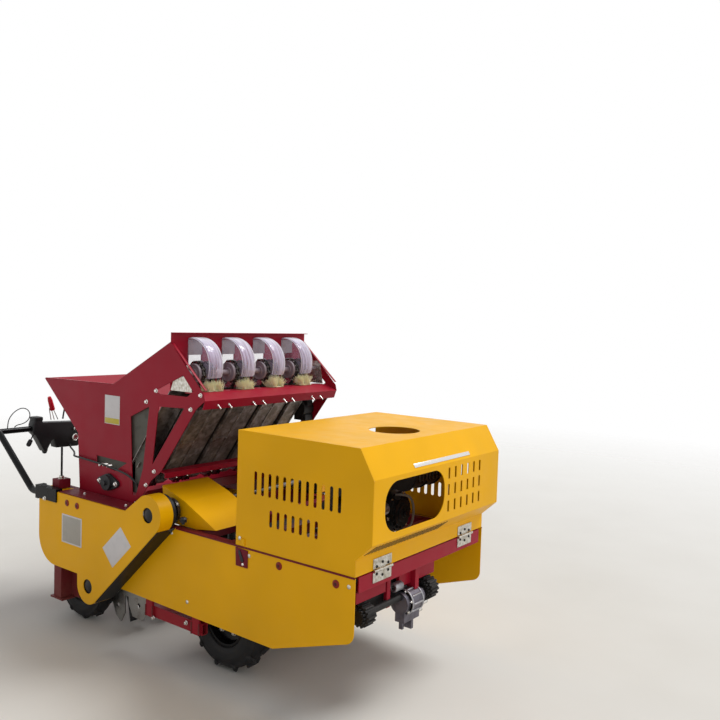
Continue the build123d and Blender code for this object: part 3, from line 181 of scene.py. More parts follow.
def new_finish(name, colour, roughness, metallic=0.0, specular=0.5):
    """A fresh material, its shader node, and the place on the object that its patterns read."""
    material = bpy.data.materials.new(name)
    material.use_nodes = True
    material.diffuse_color = colour
    shader = material.node_tree.nodes["Principled BSDF"]
    shader.inputs["Base Color"].default_value = colour
    shader.inputs["Roughness"].default_value = roughness
    shader.inputs["Metallic"].default_value = metallic
    shader.inputs["Specular IOR Level"].default_value = specular
    return material, shader, add_node(material, "ShaderNodeTexCoord").outputs["Object"]


def patches(material, place, size, detail, rough, low, high, to_low=0.0, to_high=1.0):
    """Uneven patches of about this size in metres: a noise stretched from one range to another."""
    cloud = add_node(material, "ShaderNodeTexNoise", Vector=place, Scale=1 / size, Detail=detail,
                     Roughness=rough)
    return add_node(material, "ShaderNodeMapRange", _0=cloud.outputs["Fac"], _1=low, _2=high, _3=to_low,
                    _4=to_high).outputs["Result"]


def layered(material, shader, colour, *layers):
    """Colour the shader: a first colour with others laid over it, each by its own share."""
    for share, over in layers:
        mix = add_node(material, "ShaderNodeMix", {"data_type": "RGBA"}, _0=share, _6=colour, _7=over)
        colour = mix.outputs[2]
    feed(material, shader, Base_Color=colour)


def grained(material, shader, place, size, detail, strength, depth, edge=0.0, rough=0.5):
    """A grain of this size in metres as bump, over the look of edges that are rounded to a radius."""
    grain = add_node(material, "ShaderNodeTexNoise", Vector=place, Scale=1 / size, Detail=detail,
                     Roughness=rough)
    bump = add_node(material, "ShaderNodeBump", Strength=strength, Distance=depth,
                    Height=grain.outputs["Fac"])
    if edge:
        bevel = add_node(material, "ShaderNodeBevel", {"samples": 6}, Radius=edge)
        feed(material, bump, Normal=bevel.outputs["Normal"])
    feed(material, shader, Normal=bump.outputs["Normal"])


def shade(colour, share):
    """The colour made darker or lighter by a share."""
    return tuple(min(1.0, channel * share) for channel in colour[:3]) + (1.0,)


def powder_coat(name, colour, roughness=0.40, dust_high=0.45, dust_most=0.16):
    """Powder coat on folded steel sheet: even colour, soft gloss and a faint orange peel; dusty low down."""
    material, shader, place = new_finish(name, colour, roughness, specular=0.16)
    tone = patches(material, place, 0.35, 2.0, 0.5, 0.3, 0.7)
    height = add_node(material, "ShaderNodeSeparateXYZ", Vector=place).outputs["Z"]
    down = add_node(material, "ShaderNodeMapRange", _0=height, _1=dust_high, _2=0.0, _3=0.0, _4=dust_most)
    dust = add_node(material, "ShaderNodeMath", {"operation": "MULTIPLY"}, _0=down.outputs["Result"],
                    _1=patches(material, place, 0.09, 5.0, 0.65, 0.35, 0.7, 0.25, 1.0))
    layered(material, shader, shade(colour, 0.93), (tone, shade(colour, 1.05)),
            (dust.outputs[0], linear("8c7a60")))
    feed(material, shader, Roughness=patches(material, place, 0.06, 4.0, 0.5, 0.3, 0.7, roughness - 0.05,
                                             roughness + 0.09))
    # orange peel is 2 mm across, drawn at 9 mm so that it shows
    grained(material, shader, place, 0.009, 1.0, 0.12, 0.0006, sizes().edge_round)
    return material


def black_gloss_paint(name):
    """Stove enamel on steel tube: deep black with sharp highlights."""
    material, shader, place = new_finish(name, linear("0c0c0e"), 0.22, specular=0.14)
    worn = patches(material, place, 0.03, 5.0, 0.5, 0.55, 0.8, 0.0, 0.35)
    layered(material, shader, linear("0c0c0e"), (worn, linear("2c2a28")))
    feed(material, shader, Roughness=patches(material, place, 0.05, 4.0, 0.5, 0.3, 0.7, 0.16, 0.34))
    grained(material, shader, place, 0.01, 1.0, 0.08, 0.0005, sizes().edge_round)
    return material


def zinc_plate(name):
    """Bright zinc plate on pressed steel: cool grey with a yellow passivated cast and fine dents."""
    material, shader, place = new_finish(name, linear("c9c6bd"), 0.30, 1.0)
    cast = patches(material, place, 0.012, 4.0, 0.5, 0.35, 0.7)
    layered(material, shader, linear("d6d3cc"), (cast, linear("a39c8c")))
    feed(material, shader, Roughness=patches(material, place, 0.006, 3.0, 0.5, 0.3, 0.7, 0.2, 0.45))
    grained(material, shader, place, 0.005, 2.0, 0.25, 0.0004, 0.0008)
    return material


def galvanised_sheet(name):
    """Hot-dip galvanised sheet, soiled by soil and sap: crystal spangles 14 mm wide and brown stains."""
    material, shader, place = new_finish(name, linear("77706a"), 0.46, 0.75)
    crystals = add_node(material, "ShaderNodeTexVoronoi", Vector=place, Scale=1 / 0.014)
    tone = add_node(material, "ShaderNodeSeparateXYZ", Vector=crystals.outputs["Color"]).outputs["X"]
    pale = patches(material, place, 0.045, 4.0, 0.6, 0.48, 0.66, 0.0, 0.8)
    stain = patches(material, place, 0.11, 6.0, 0.7, 0.44, 0.68, 0.0, 0.85)
    layered(material, shader, linear("6f6761"), (tone, linear("8f8780")), (pale, linear("b5adac")),
            (stain, linear("4a3f38")))
    gloss = add_node(material, "ShaderNodeMapRange", _0=tone, _1=0.0, _2=1.0, _3=0.36, _4=0.58)
    feed(material, shader, Roughness=gloss.outputs["Result"])
    grained(material, shader, place, 0.03, 3.0, 0.3, 0.002, 0.001)
    return material


def worked_steel(name):
    """Bare steel polished by soil: bright with fine scratches, brown in its pits."""
    material, shader, place = new_finish(name, linear("a7a5a2"), 0.33, 1.0)
    scratches = add_node(material, "ShaderNodeTexNoise", Vector=place, Scale=1 / 0.004, Detail=6.0,
                         Roughness=0.7)
    rust = patches(material, place, 0.03, 6.0, 0.7, 0.52, 0.74, 0.0, 0.7)
    layered(material, shader, linear("8a8886"), (scratches.outputs["Fac"], linear("c6c4c0")),
            (rust, linear("5d4334")))
    feed(material, shader, Roughness=patches(material, place, 0.004, 6.0, 0.7, 0.3, 0.7, 0.24, 0.5))
    grained(material, shader, place, 0.004, 6.0, 0.2, 0.0005, 0.0012, 0.7)
    return material


def cast_metal(name, colour, roughness, metallic, size):
    """Sand casting as it leaves the mould: a coarse skin with grease in its hollows."""
    material, shader, place = new_finish(name, colour, roughness, metallic)
    skin = add_node(material, "ShaderNodeTexNoise", Vector=place, Scale=1 / size, Detail=5.0, Roughness=0.6)
    grease = patches(material, place, 0.035, 4.0, 0.5, 0.5, 0.75, 0.0, 0.7)
    layered(material, shader, shade(colour, 0.8), (skin.outputs["Fac"], shade(colour, 1.15)),
            (grease, shade(colour, 0.35)))
    feed(material, shader, Roughness=patches(material, place, size, 5.0, 0.6, 0.3, 0.7, roughness - 0.08,
                                             roughness + 0.14))
    grained(material, shader, place, size, 5.0, 0.5, 0.0012, 0.003, 0.6)
    return material


def oiled_chain_steel(name):
    """Blued roller chain with oil on it: near black with wet highlights."""
    material, shader, place = new_finish(name, linear("4b4846"), 0.30, 0.9)
    oil = add_node(material, "ShaderNodeTexNoise", Vector=place, Scale=1 / 0.012, Detail=4.0, Roughness=0.5)
    layered(material, shader, linear("2b2a2a"), (oil.outputs["Fac"], linear("6e6a66")))
    feed(material, shader, Roughness=patches(material, place, 0.012, 4.0, 0.5, 0.3, 0.7, 0.18, 0.45))
    return material


def bright_pin_steel(name):
    """Ground pin ends and plated screw heads: almost mirror bright."""
    material, shader, place = new_finish(name, linear("dedcd8"), 0.16, 1.0)
    feed(material, shader, Roughness=patches(material, place, 0.004, 3.0, 0.5, 0.3, 0.7, 0.10, 0.30))
    return material


def tyre_rubber(name):
    """Vulcanised tyre rubber: matt black, dusty on the lugs, with fine mould grain."""
    material, shader, place = new_finish(name, linear("171719"), 0.78, specular=0.3)
    dust = patches(material, place, 0.02, 6.0, 0.7, 0.46, 0.78, 0.0, 0.34)
    layered(material, shader, linear("141416"), (dust, linear("4c463e")))
    matt = add_node(material, "ShaderNodeMapRange", _0=dust, _1=0.0, _2=0.5, _3=0.62, _4=0.92)
    feed(material, shader, Roughness=matt.outputs["Result"])
    grained(material, shader, place, 0.004, 3.0, 0.35, 0.0006)
    return material


def soft_rubber(name):
    """Moulded grip and hose rubber: black with a dull sheen."""
    material, shader, place = new_finish(name, linear("1d1d1e"), 0.6)
    feed(material, shader, Roughness=patches(material, place, 0.003, 3.0, 0.5, 0.3, 0.7, 0.5, 0.72))
    grained(material, shader, place, 0.003, 3.0, 0.25, 0.0004, 0.001)
    return material


def moulded_plastic(name, colour, roughness):
    """Injection-moulded ABS: an even colour with a fine spark-eroded grain."""
    material, shader, place = new_finish(name, colour, roughness, specular=0.3)
    worn = patches(material, place, 0.04, 4.0, 0.5, 0.4, 0.75)
    layered(material, shader, colour, (worn, shade(colour, 0.72)))
    feed(material, shader, Roughness=patches(material, place, 0.002, 2.0, 0.5, 0.3, 0.7, roughness - 0.07,
                                             roughness + 0.1))
    grained(material, shader, place, 0.002, 2.0, 0.15, 0.0003, 0.0012)
    return material


def clear_hood_plastic(name):
    """Vacuum-formed clear PVC, 2 mm thick: a milky violet film, whiter where its wall is seen edge on."""
    material, shader, place = new_finish(name, linear("ded6ea"), 0.08)
    feed(material, shader, Roughness=patches(material, place, 0.05, 5.0, 0.6, 0.45, 0.75, 0.05, 0.20))
    edge = add_node(material, "ShaderNodeLayerWeight", Blend=0.32).outputs["Facing"]
    layered(material, shader, linear("d2c8e8"), (edge, linear("ffffff")))
    haze = add_node(material, "ShaderNodeMapRange", _0=edge, _1=0.15, _2=0.95, _3=0.10, _4=0.70)
    # streaks run round the curved band, which starts where the flat sides end
    along_y = add_node(material, "ShaderNodeSeparateXYZ", Vector=place).outputs["Y"]
    from_row = add_node(material, "ShaderNodeMath", {"operation": "PINGPONG"}, _0=along_y, _1=ROW_PITCH / 2)
    band = add_node(material, "ShaderNodeMapRange", _0=from_row.outputs[0], _1=0.0590, _2=0.0640)
    drawn_place = add_node(material, "ShaderNodeVectorMath", {"operation": "MULTIPLY"}, _0=place,
                           _1=(0.10, 1.0, 0.10)).outputs["Vector"]
    streaks = add_node(material, "ShaderNodeMath", {"operation": "MULTIPLY"}, _0=band.outputs["Result"],
                       _1=patches(material, drawn_place, 0.011, 3.0, 0.6, 0.36, 0.66, 0.10, 0.50))
    film = add_node(material, "ShaderNodeMath", {"operation": "ADD", "use_clamp": True},
                    _0=haze.outputs["Result"], _1=streaks.outputs[0])
    feed(material, shader, Alpha=film.outputs[0])
    grained(material, shader, place, 0.03, 2.0, 0.25, 0.002)
    return material


def nylon_bristle(name):
    """Crimped nylon bristle: translucent pale yellow-green, darker at the root."""
    colour = colours().bristle
    material, shader, place = new_finish(name, colour, 0.42)
    strand = add_node(material, "ShaderNodeTexNoise", Vector=place, Scale=1 / 0.012, Detail=3.0,
                      Roughness=0.5)
    height = add_node(material, "ShaderNodeSeparateXYZ", Vector=place).outputs["Z"]
    root = add_node(material, "ShaderNodeMapRange", _0=height, _1=SHELF_Z, _2=SHELF_Z + 0.02, _3=0.40, _4=0.0)
    layered(material, shader, shade(colour, 0.84), (strand.outputs["Fac"], shade(colour, 1.12)),
            (root.outputs["Result"], linear("b9b47c")))
    shader.inputs["Subsurface Weight"].default_value = 0.25
    shader.inputs["Subsurface Radius"].default_value = (0.004, 0.004, 0.002)
    return material


def enamel_plate(name, colour):
    """Printed aluminium plate or film label: smooth, slightly glossy, a little grimy."""
    material, shader, place = new_finish(name, colour, 0.35)
    grime = patches(material, place, 0.03, 5.0, 0.65, 0.45, 0.8, 0.0, 0.35)
    layered(material, shader, colour, (grime, shade(colour, 0.7)))
    gloss = add_node(material, "ShaderNodeMapRange", _0=grime, _1=0.0, _2=0.35, _3=0.28, _4=0.5)
    feed(material, shader, Roughness=gloss.outputs["Result"])
    return material


# powder coats in the user's colours: roughness, how high the dust reaches and its most
COATS = {
    "amber": (0.40, 0.45, 0.16),
    "crimson": (0.36, 0.45, 0.16),
    "dark_red": (0.40, 0.50, 0.30),
}
# castings and blued sheet: colour, roughness, metallic share, grain size
CASTINGS = {
    "cast_iron": ("3a3a3c", 0.55, 0.7, 0.006),
    "raw_casting": ("a3a2a6", 0.42, 0.9, 0.005),
    "dark_casting": ("6b6770", 0.36, 0.85, 0.005),
    "engine_black": ("1c1d1f", 0.42, 0.2, 0.008),
    "muffler_steel": ("2d2b2a", 0.5, 0.6, 0.01),
    "stained_sheet": ("56544c", 0.6, 0.3, 0.04),
}
# moulded plastics: colour and roughness
PLASTICS = {
    "black_plastic": ("1b1b1d", 0.45),
    "grey_plastic": ("b9b7b0", 0.4),
    "red_plastic": ("8a1d0c", 0.35),
    "dark_plastic": ("4a0c0c", 0.4),
    "red_grip": ("d3142c", 0.3),
    # painted highlight: near white for the lines drawn along the hoods' rims
    "hood_rim": ("efedf4", 0.2),
    "hood_backing": ("c9c4c6", 0.4),
    # painted shade: near black for the strips and insets that stand for shade in gaps and slots
    "seam_dark": ("171310", 0.5),
    "hub_grey": ("94878f", 0.35),
    "pale_hose": ("a7a39a", 0.3),
}
PLATES = {"white_plate": "d8d3d2", "grey_plate": "a8a297", "yellow_band": "c8b52c"}
OTHER_FINISHES = {
    "black_gloss": black_gloss_paint,
    "zinc": zinc_plate,
    "galvanised": galvanised_sheet,
    "worked_steel": worked_steel,
    "chain": oiled_chain_steel,
    "bright": bright_pin_steel,
    "tyre": tyre_rubber,
    "rubber": soft_rubber,
    "clear": clear_hood_plastic,
    "bristle": nylon_bristle,
}
FINISHES = {}


def finish(name):
    """The finish of this name, made once."""
    if name in FINISHES:
        return FINISHES[name]
    if name.endswith("_coat"):
        paint = name.removesuffix("_coat")
        made = powder_coat(name, tuple(getattr(colours(), paint)), *COATS[paint])
    elif name in CASTINGS:
        colour, *rest = CASTINGS[name]
        made = cast_metal(name, linear(colour), *rest)
    elif name in PLASTICS:
        colour, roughness = PLASTICS[name]
        made = moulded_plastic(name, linear(colour), roughness)
    elif name in PLATES:
        made = enamel_plate(name, linear(PLATES[name]))
    else:
        made = OTHER_FINISHES[name](OTHER_FINISHES[name].__name__)
    FINISHES[name] = made
    return made


# Modelling by hand

def nothing_selected():
    if bpy.context.object and bpy.context.object.mode != "OBJECT":
        bpy.ops.object.mode_set(mode="OBJECT")
    bpy.ops.object.select_all(action="DESELECT")


def only(piece):
    """Make this piece the one that the next operator works on."""
    nothing_selected()
    piece.select_set(True)
    bpy.context.view_layer.objects.active = piece


def in_edit(piece):
    only(piece)
    bpy.ops.object.mode_set(mode="EDIT")
    bpy.ops.mesh.select_all(action="SELECT")


def settled(piece):
    """Put the piece's place, turn and size into its mesh."""
    only(piece)
    bpy.ops.object.transform_apply(location=True, rotation=True, scale=True)
    return piece


def softened(piece, width, segments=2, angle=35):
    """Bevel the piece's sharp edges for good."""
    only(piece)
    bevel = piece.modifiers.new("bevel", "BEVEL")
    bevel.width = width
    bevel.segments = segments
    bevel.limit_method = "ANGLE"
    bevel.angle_limit = radians(angle)
    bpy.ops.object.modifier_apply(modifier="bevel")
    return piece


def slab(points, push, width=0.0, segments=2):
    """A flat shape through these points, pushed along a vector, with softened edges."""
    nothing_selected()
    bpy.ops.mesh.primitive_circle_add(vertices=len(points), radius=0.01, fill_type="NGON")
    piece = bpy.context.object
    for vertex, point in zip(piece.data.vertices, points):
        vertex.co = point
    in_edit(piece)
    bpy.ops.mesh.extrude_region_move(TRANSFORM_OT_translate={"value": Vector(push)})
    bpy.ops.mesh.select_all(action="SELECT")
    bpy.ops.mesh.normals_make_consistent(inside=False)
    bpy.ops.object.mode_set(mode="OBJECT")
    return softened(piece, width, segments) if width else piece


def brick(centre, size, width=0.002, segments=2):
    """A block with softened edges."""
    nothing_selected()
    bpy.ops.mesh.primitive_cube_add(size=1, location=centre)
    piece = bpy.context.object
    piece.scale = size
    settled(piece)
    return softened(piece, min(width, min(size) * 0.4), segments)


def facing(direction):
    """The turn that takes Z to a direction."""
    return Vector(direction).normalized().to_track_quat("Z", "Y").to_matrix().to_4x4()


def turned(outline, centre, axis, steps):
    """A section of (along, radius) points spun round an axis."""
    nothing_selected()
    axis = Vector(axis).normalized()
    out = axis.orthogonal().normalized()
    bpy.ops.mesh.primitive_circle_add(vertices=len(outline), radius=0.01, fill_type="NOTHING")
    piece = bpy.context.object
    for vertex, (along, radius) in zip(piece.data.vertices, outline):
        vertex.co = Vector(centre) + axis * along + out * radius
    in_edit(piece)
    bpy.ops.mesh.spin(steps=steps, angle=2 * pi, center=centre, axis=axis)
    bpy.ops.mesh.select_all(action="SELECT")
    bpy.ops.mesh.remove_doubles(threshold=0.00001)
    bpy.ops.mesh.delete_loose()
    bpy.ops.mesh.select_all(action="SELECT")
    bpy.ops.mesh.normals_make_consistent(inside=False)
    bpy.ops.object.mode_set(mode="OBJECT")
    return piece


def spun(outline, steps):
    """A section of (up, radius) points spun round Z at the origin."""
    return turned(outline, (0, 0, 0), Z, steps)


def joined(pieces):
    """One mesh of several."""
    only(pieces[0])
    for piece in pieces[1:]:
        piece.select_set(True)
    if len(pieces) > 1:
        bpy.ops.object.join()
    return bpy.context.view_layer.objects.active


def copies(model, places, keep=False):
    """Copies of a model at each place, joined; the model itself goes unless it is kept."""
    made = []
    for place in places:
        copy = model.copy()
        copy.data = model.data.copy()
        copy.data.transform(place)
        bpy.context.scene.collection.objects.link(copy)
        made.append(copy)
    if not keep:
        bpy.data.objects.remove(model)
    return joined(made)


def wire(points, radius, sides=6):
    """A round bar or hose along a smooth line through its points, as a mesh."""
    curve = bpy.data.curves.new("wire", "CURVE")
    curve.dimensions = "3D"
    line = curve.splines.new("NURBS")
    line.points.add(len(points) - 1)
    for knot, point in zip(line.points, points):
        knot.co = (*point, 1.0)
    line.order_u = 3
    line.use_endpoint_u = True
    line.resolution_u = 6
    curve.bevel_depth = radius
    curve.bevel_resolution = max(1, sides // 2 - 1)
    curve.use_fill_caps = True
    piece = bpy.data.objects.new("wire", curve)
    bpy.context.scene.collection.objects.link(piece)
    only(piece)
    bpy.ops.object.convert(target="MESH")
    return bpy.context.object


def done(piece, name, finish_name, body, smooth=35):
    """Name a finished piece, give it its finish and fasten it to a body."""
    settled(piece)
    piece.name = name
    piece.data.name = name
    piece.data.materials.clear()
    piece.data.materials.append(finish(finish_name))
    bpy.ops.object.shade_smooth_by_angle(angle=radians(smooth))
    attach(piece, body)
    return piece


def moved(vector):
    return Matrix.Translation(Vector(vector))


def spun_at(outline, steps, at, towards):
    """A section spun round its own axis, which stands at a place and points a way."""
    piece = spun(outline, steps)
    piece.data.transform(moved(at) @ facing(towards))
    return piece


def on_sides(spots, y):
    """Places on both side faces, facing outwards, at these (x, z) spots."""
    return [moved((x, sign * y, z)) @ facing(Y * sign) for sign in SIDES for x, z in spots]


def side_sheet(corners, y, push, width=0.0):
    """A sheet in a plane across Y through (x, z) corners, pushed along Y."""
    return slab([Vector((x, y, z)) for x, z in corners], Y * push, width)


def line_and_front(low, high):
    """The way from one point up to another in a side view, and the way that stands off it to the front."""
    along = (high - low).normalized()
    return along, Vector((along.z, 0, -along.x))


def round_circle(count, phase=0.0):
    """Angles spaced evenly round a circle."""
    return [2 * pi * index / count + phase for index in range(count)]


def mirrored_y(piece):
    """A copy on the machine's other side, turned right side out again."""
    copy = piece.copy()
    copy.data = piece.data.copy()
    copy.data.transform(Matrix.Scale(-1, 4, Y))
    bpy.context.scene.collection.objects.link(copy)
    in_edit(copy)
    bpy.ops.mesh.flip_normals()
    bpy.ops.object.mode_set(mode="OBJECT")
    return copy


def both_sides(piece):
    """The piece and its mirror image in one mesh."""
    return joined([piece, mirrored_y(piece)])


# Built pieces

NODE_FINISHES = {
    "amber_coat": ("belt_guard", "chain_cases", "cover_shell", "cover_sides", "side_skirts"),
    "crimson_coat": ("back_panel", "cross_angles", "front_beam", "guide_rails", "hopper_bin", "hopper_sides"),
    "dark_red_coat": ("base_rails", "cross_members", "main_rails", "wheel_legs"),
    "black_gloss": ("drive_rim_left", "drive_rim_right", "handlebar", "rear_rim_left", "rear_rim_right"),
    "zinc": ("bearing_brackets", "cover_leaves", "hinge_leaves"),
    "galvanised": ("elevator_board", "seed_ducts"),
    "worked_steel": ("planting_plates", "planting_shaft"),
    "cast_iron": ("drive_flange", "shaft_bearings", "transmission"),
    "raw_casting": ("starter_motor",),
    "dark_casting": ("gear_case",),
    "engine_black": ("engine_block", "fuel_tank", "recoil_starter"),
    "muffler_steel": ("front_wheels", "metering_motor", "muffler"),
    "chain": ("case_chains", "drive_chains", "upper_shaft"),
    "grey_plastic": ("cup_chains",),
    "hub_grey": ("elevator_shafts",),
    "rubber": ("control_cables", "drop_tubes", "handle_grips", "planting_beaks"),
    "black_plastic": ("control_box", "control_levers"),
    "clear": ("metering_hoods",),
    "bristle": ("metering_brushes",),
    "tyre": ("drive_tyre_left", "drive_tyre_right", "rear_tyre_left", "rear_tyre_right"),
}


def finish_built_pieces():
    """Give every node of the frame its finish."""
    left = set(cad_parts)
    for finish_name, nodes in NODE_FINISHES.items():
        material = finish(finish_name)
        for node in nodes:
            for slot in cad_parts[node].material_slots:
                slot.material = material
            left.discard(node)
    for node in sorted(left):
        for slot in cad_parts[node].material_slots:
            slot.material = finish("black_gloss")


# Wheels

# kind, centre on the left, radius, width, rim radius, hub radius,
# lugs a side, lug height, lug thickness, lug turn in degrees
WHEELS = (
    ("drive", (0.477, 0.317, 0.215), 0.215, 0.110, 0.110, 0.038, 11, 0.015, 0.015, 35),
    ("rear", (-0.473, 0.390, 0.190), 0.190, 0.090, 0.100, 0.030, 10, 0.008, 0.014, 20),
)
WHEEL_SIDES = (("right", -1), ("left", 1))
SIDEWALL_STEPS = 10
SIDEWALL_RINGS = (3, 7)
# how deep a lug stands in the carcass
LUG_ROOT = 0.002
RIM_NUTS = 5


def tread_radius(across, width, outer):
    """The carcass radius at a place across the tread, which rounds off towards the shoulders."""
    share = min(1.0, abs(across) / (width / 2))
    return outer - 0.004 * share ** 2 - 0.016 * max(0.0, share - 0.72) / 0.28


def carcass(centre, outer, width, rim_r):
    """The tyre without its lugs: bead, bulged sidewalls with two moulded rings, and a crowned tread."""
    wall = []
    shoulder_r = tread_radius(width / 2, width, outer)
    for step in range(SIDEWALL_STEPS + 1):
        share = step / SIDEWALL_STEPS
        ring = 0.0016 if step in SIDEWALL_RINGS else 0.0
        wall.append((-(width / 2) * (0.80 + 0.19 * sin(pi * (0.12 + 0.76 * share))) - ring,
                     rim_r + 0.003 + (shoulder_r - 0.006 - rim_r) * share))
    crown = [(across * width / 2, tread_radius(across * width / 2, width, outer))
             for across in (-0.86, -0.6, -0.3, 0.0, 0.3, 0.6, 0.86)]
    section = [*wall, *crown, *((-along, radius) for along, radius in reversed(wall))]
    section.append((width / 2 * 0.7, rim_r - 0.001))
    section.append((-width / 2 * 0.7, rim_r - 0.001))
    return turned(section, centre, Y, 96)


def lug_model(width, height, thickness, turn):
    """One lug laid flat: X round the tyre, Y across it, Z outwards."""
    nothing_selected()
    bpy.ops.mesh.primitive_cube_add(size=1)
    piece = bpy.context.object
    length = width / 2 / cos(turn) * 0.97
    piece.scale = (length, thickness, height)
    settled(piece)
    in_edit(piece)
    bpy.ops.mesh.subdivide(number_cuts=3)
    bpy.ops.object.mode_set(mode="OBJECT")
    for vertex in piece.data.vertices:
        top = vertex.co.z > 0
        end = vertex.co.x / (length / 2)
        # wider at its root, and wider at the shoulder than at the middle of the tread
        vertex.co.y *= (0.80 if top else 1.25) * (1 + 0.28 * end)
        vertex.co.z += height / 2
    softened(piece, 0.0018, 2, 50)
    piece.data.transform(Matrix.Rotation(pi / 2 - turn, 4, "Z"))
    piece.data.transform(moved((0, width / 4, 0)))
    return piece


def wrapped(model, hand, around, centre, outer, width):
    """A flat lug bent round the tyre at an angle, on one half of the tread."""
    lug = model.copy()
    lug.data = model.data.copy()
    bpy.context.scene.collection.objects.link(lug)
    for vertex in lug.data.vertices:
        flat = vertex.co.copy()
        angle = around + flat.x / outer
        radius = tread_radius(flat.y, width, outer) + flat.z - LUG_ROOT
        vertex.co = Vector(centre) + Vector((cos(angle) * radius, hand * min(flat.y, width / 2 - 0.0005),
                                             sin(angle) * radius))
    if hand < 0:
        return lug
    in_edit(lug)
    bpy.ops.mesh.flip_normals()
    bpy.ops.object.mode_set(mode="OBJECT")
    return lug


def rim_section(width, rim_r, hub_r, hub_half, dish):
    """A pressed rim: flanged barrel, dished disc and hub, as one closed section."""
    half = width / 2
    return [
        (-half * 0.74, rim_r + 0.004), (-half * 0.70, rim_r - 0.006), (-half * 0.36, rim_r - 0.010),
        (half * 0.36, rim_r - 0.010), (half * 0.70, rim_r - 0.006), (half * 0.74, rim_r + 0.004),
        (half * 0.79, rim_r + 0.003), (half * 0.76, rim_r - 0.012), (half * 0.38, rim_r - 0.016),
        (dish + 0.012, rim_r - 0.020), (dish + 0.004, rim_r * 0.70), (dish + 0.010, rim_r * 0.52),
        (dish + 0.006, hub_r + 0.004), (hub_half, hub_r), (hub_half, hub_r * 0.6), (-hub_half, hub_r * 0.6),
        (-hub_half, hub_r), (dish, hub_r + 0.004), (dish + 0.004, rim_r * 0.52), (dish - 0.002, rim_r * 0.70),
        (dish - 0.006, rim_r - 0.020), (-half * 0.38, rim_r - 0.016), (-half * 0.76, rim_r - 0.012),
        (-half * 0.79, rim_r + 0.003),
    ]


def build_wheels():
    """Tyres with their lugs and pressed rims, each turning with its wheel."""
    for kind, (x, y, z), radius, width, rim_r, hub_r, count, height, thickness, turn in WHEELS:
        outer = radius - height
        for side, sign in WHEEL_SIDES:
            body, tyre_node, rim_node = f"{kind}_wheel_{side}", f"{kind}_tyre_{side}", f"{kind}_rim_{side}"
            centre = (x, sign * y, z)
            lug = lug_model(width, height + LUG_ROOT, thickness, radians(turn))
            lugs = []
            for index in range(count):
                for hand in SIDES:
                    around = 2 * pi * (index + 0.25 * hand) / count
                    lugs.append(wrapped(lug, hand, around, centre, outer, width))
            bpy.data.objects.remove(lug)
            whole = joined([carcass(centre, outer, width, rim_r), *lugs])
            tyre = done(whole, f"{body}_tyre", "tyre", body, 40)
            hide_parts(tyre_node)
            low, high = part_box(rim_node)
            disc = turned(rim_section(width, rim_r, hub_r, (high.y - low.y) / 2, sign * 0.004), centre, Y, 64)
            softened(disc, 0.0012, 2, 40)
            rim = done(disc, f"{body}_rim", "black_gloss", body, 40)
            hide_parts(rim_node)
            nuts = []
            for angle in round_circle(RIM_NUTS, 0.3):
                at = Vector(centre) + Vector((cos(angle), 0, sin(angle))) * (rim_r * 0.56)
                nuts.append(moved(at + Y * sign * 0.018) @ facing(Y * sign))
            done(copies(hex_head(0.017), nuts), f"{body}_nuts", "zinc", body, 30)


# Fasteners

def hex_head(across):
    """A hexagon head on its washer, standing on the origin along Z."""
    nothing_selected()
    radius = across / 2 / cos(pi / 6)
    bpy.ops.mesh.primitive_cylinder_add(vertices=6, radius=radius, depth=across * 0.50,
                                        location=(0, 0, across * 0.37))
    head = softened(settled(bpy.context.object), across * 0.07, 2, 50)
    ring = spun([(0, 0), (0, across * 0.74), (across * 0.07, across * 0.74), (across * 0.12, across * 0.66),
                 (across * 0.12, 0)], 20)
    return joined([head, ring])


def round_head(radius):
    """A domed screw head with a cross slot, standing on the origin along Z."""
    dome = spun([(0, 0), (0, radius), (radius * 0.25, radius * 0.97), (radius * 0.52, radius * 0.72),
                 (radius * 0.68, radius * 0.38), (radius * 0.70, 0)], 20)
    slots = [brick((0, 0, radius * 0.70), (radius * 1.1, radius * 0.16, radius * 0.14), radius * 0.03),
             brick((0, 0, radius * 0.70), (radius * 0.16, radius * 1.1, radius * 0.14), radius * 0.03)]
    return joined([dome, *slots])


# places (x, z) of the bolts and screws on the side faces
HOPPER_BOLTS = ((0.097, 1.169), (0.030, 1.115), (0.326, 1.107), (0.092, 0.810), (0.036, 0.741),
                (0.386, 1.172))
GUIDE_BOLTS = ((0.107, 0.155), (0.327, 0.191))
GUIDE_FACE_Y = 0.440
CLAMP_BOLTS = ((-0.566, 0.604),)
CLAMP_FACE_Y = 0.565
SKIRT_SCREWS = ((0.718, 0.569), (1.215, 0.562), (0.359, 0.297), (0.251, 0.572))
COVER_SCREWS = ((0.665, 0.630),)
# places (x, y) of the bolts that stand up at the hopper's foot, and their height
FOOT_BOLTS = ((-0.333, 0.500), (-0.009, 0.507))
FOOT_BOLT_Z = 0.652
# y of the studs that hang under the metering lip and under the tie rail
LIP_STUD_YS = (-0.358, -0.295, -0.150, -0.087, 0.050, 0.107, 0.250, 0.312)
TIE_STUD_YS = (-0.362, -0.301, -0.158, -0.098, 0.042, 0.102, 0.242, 0.302)
# along the hinge line and off it
HINGE_SCREWS = ((-0.036, 0.014), (0.0, 0.024), (0.036, 0.014))


def stud_end(radius, length):
    """The bare end of a bolt with a nut on it, standing on the origin along Z."""
    nothing_selected()
    bpy.ops.mesh.primitive_cylinder_add(vertices=6, radius=radius * 1.7, depth=radius * 1.2,
                                        location=(0, 0, radius * 0.6))
    nut = softened(settled(bpy.context.object), radius * 0.2, 2, 50)
    rod = spun([(0, 0), (0, radius), (length - radius * 0.4, radius), (length, radius * 0.6),
                (length, 0)], 14)
    return joined([nut, rod])


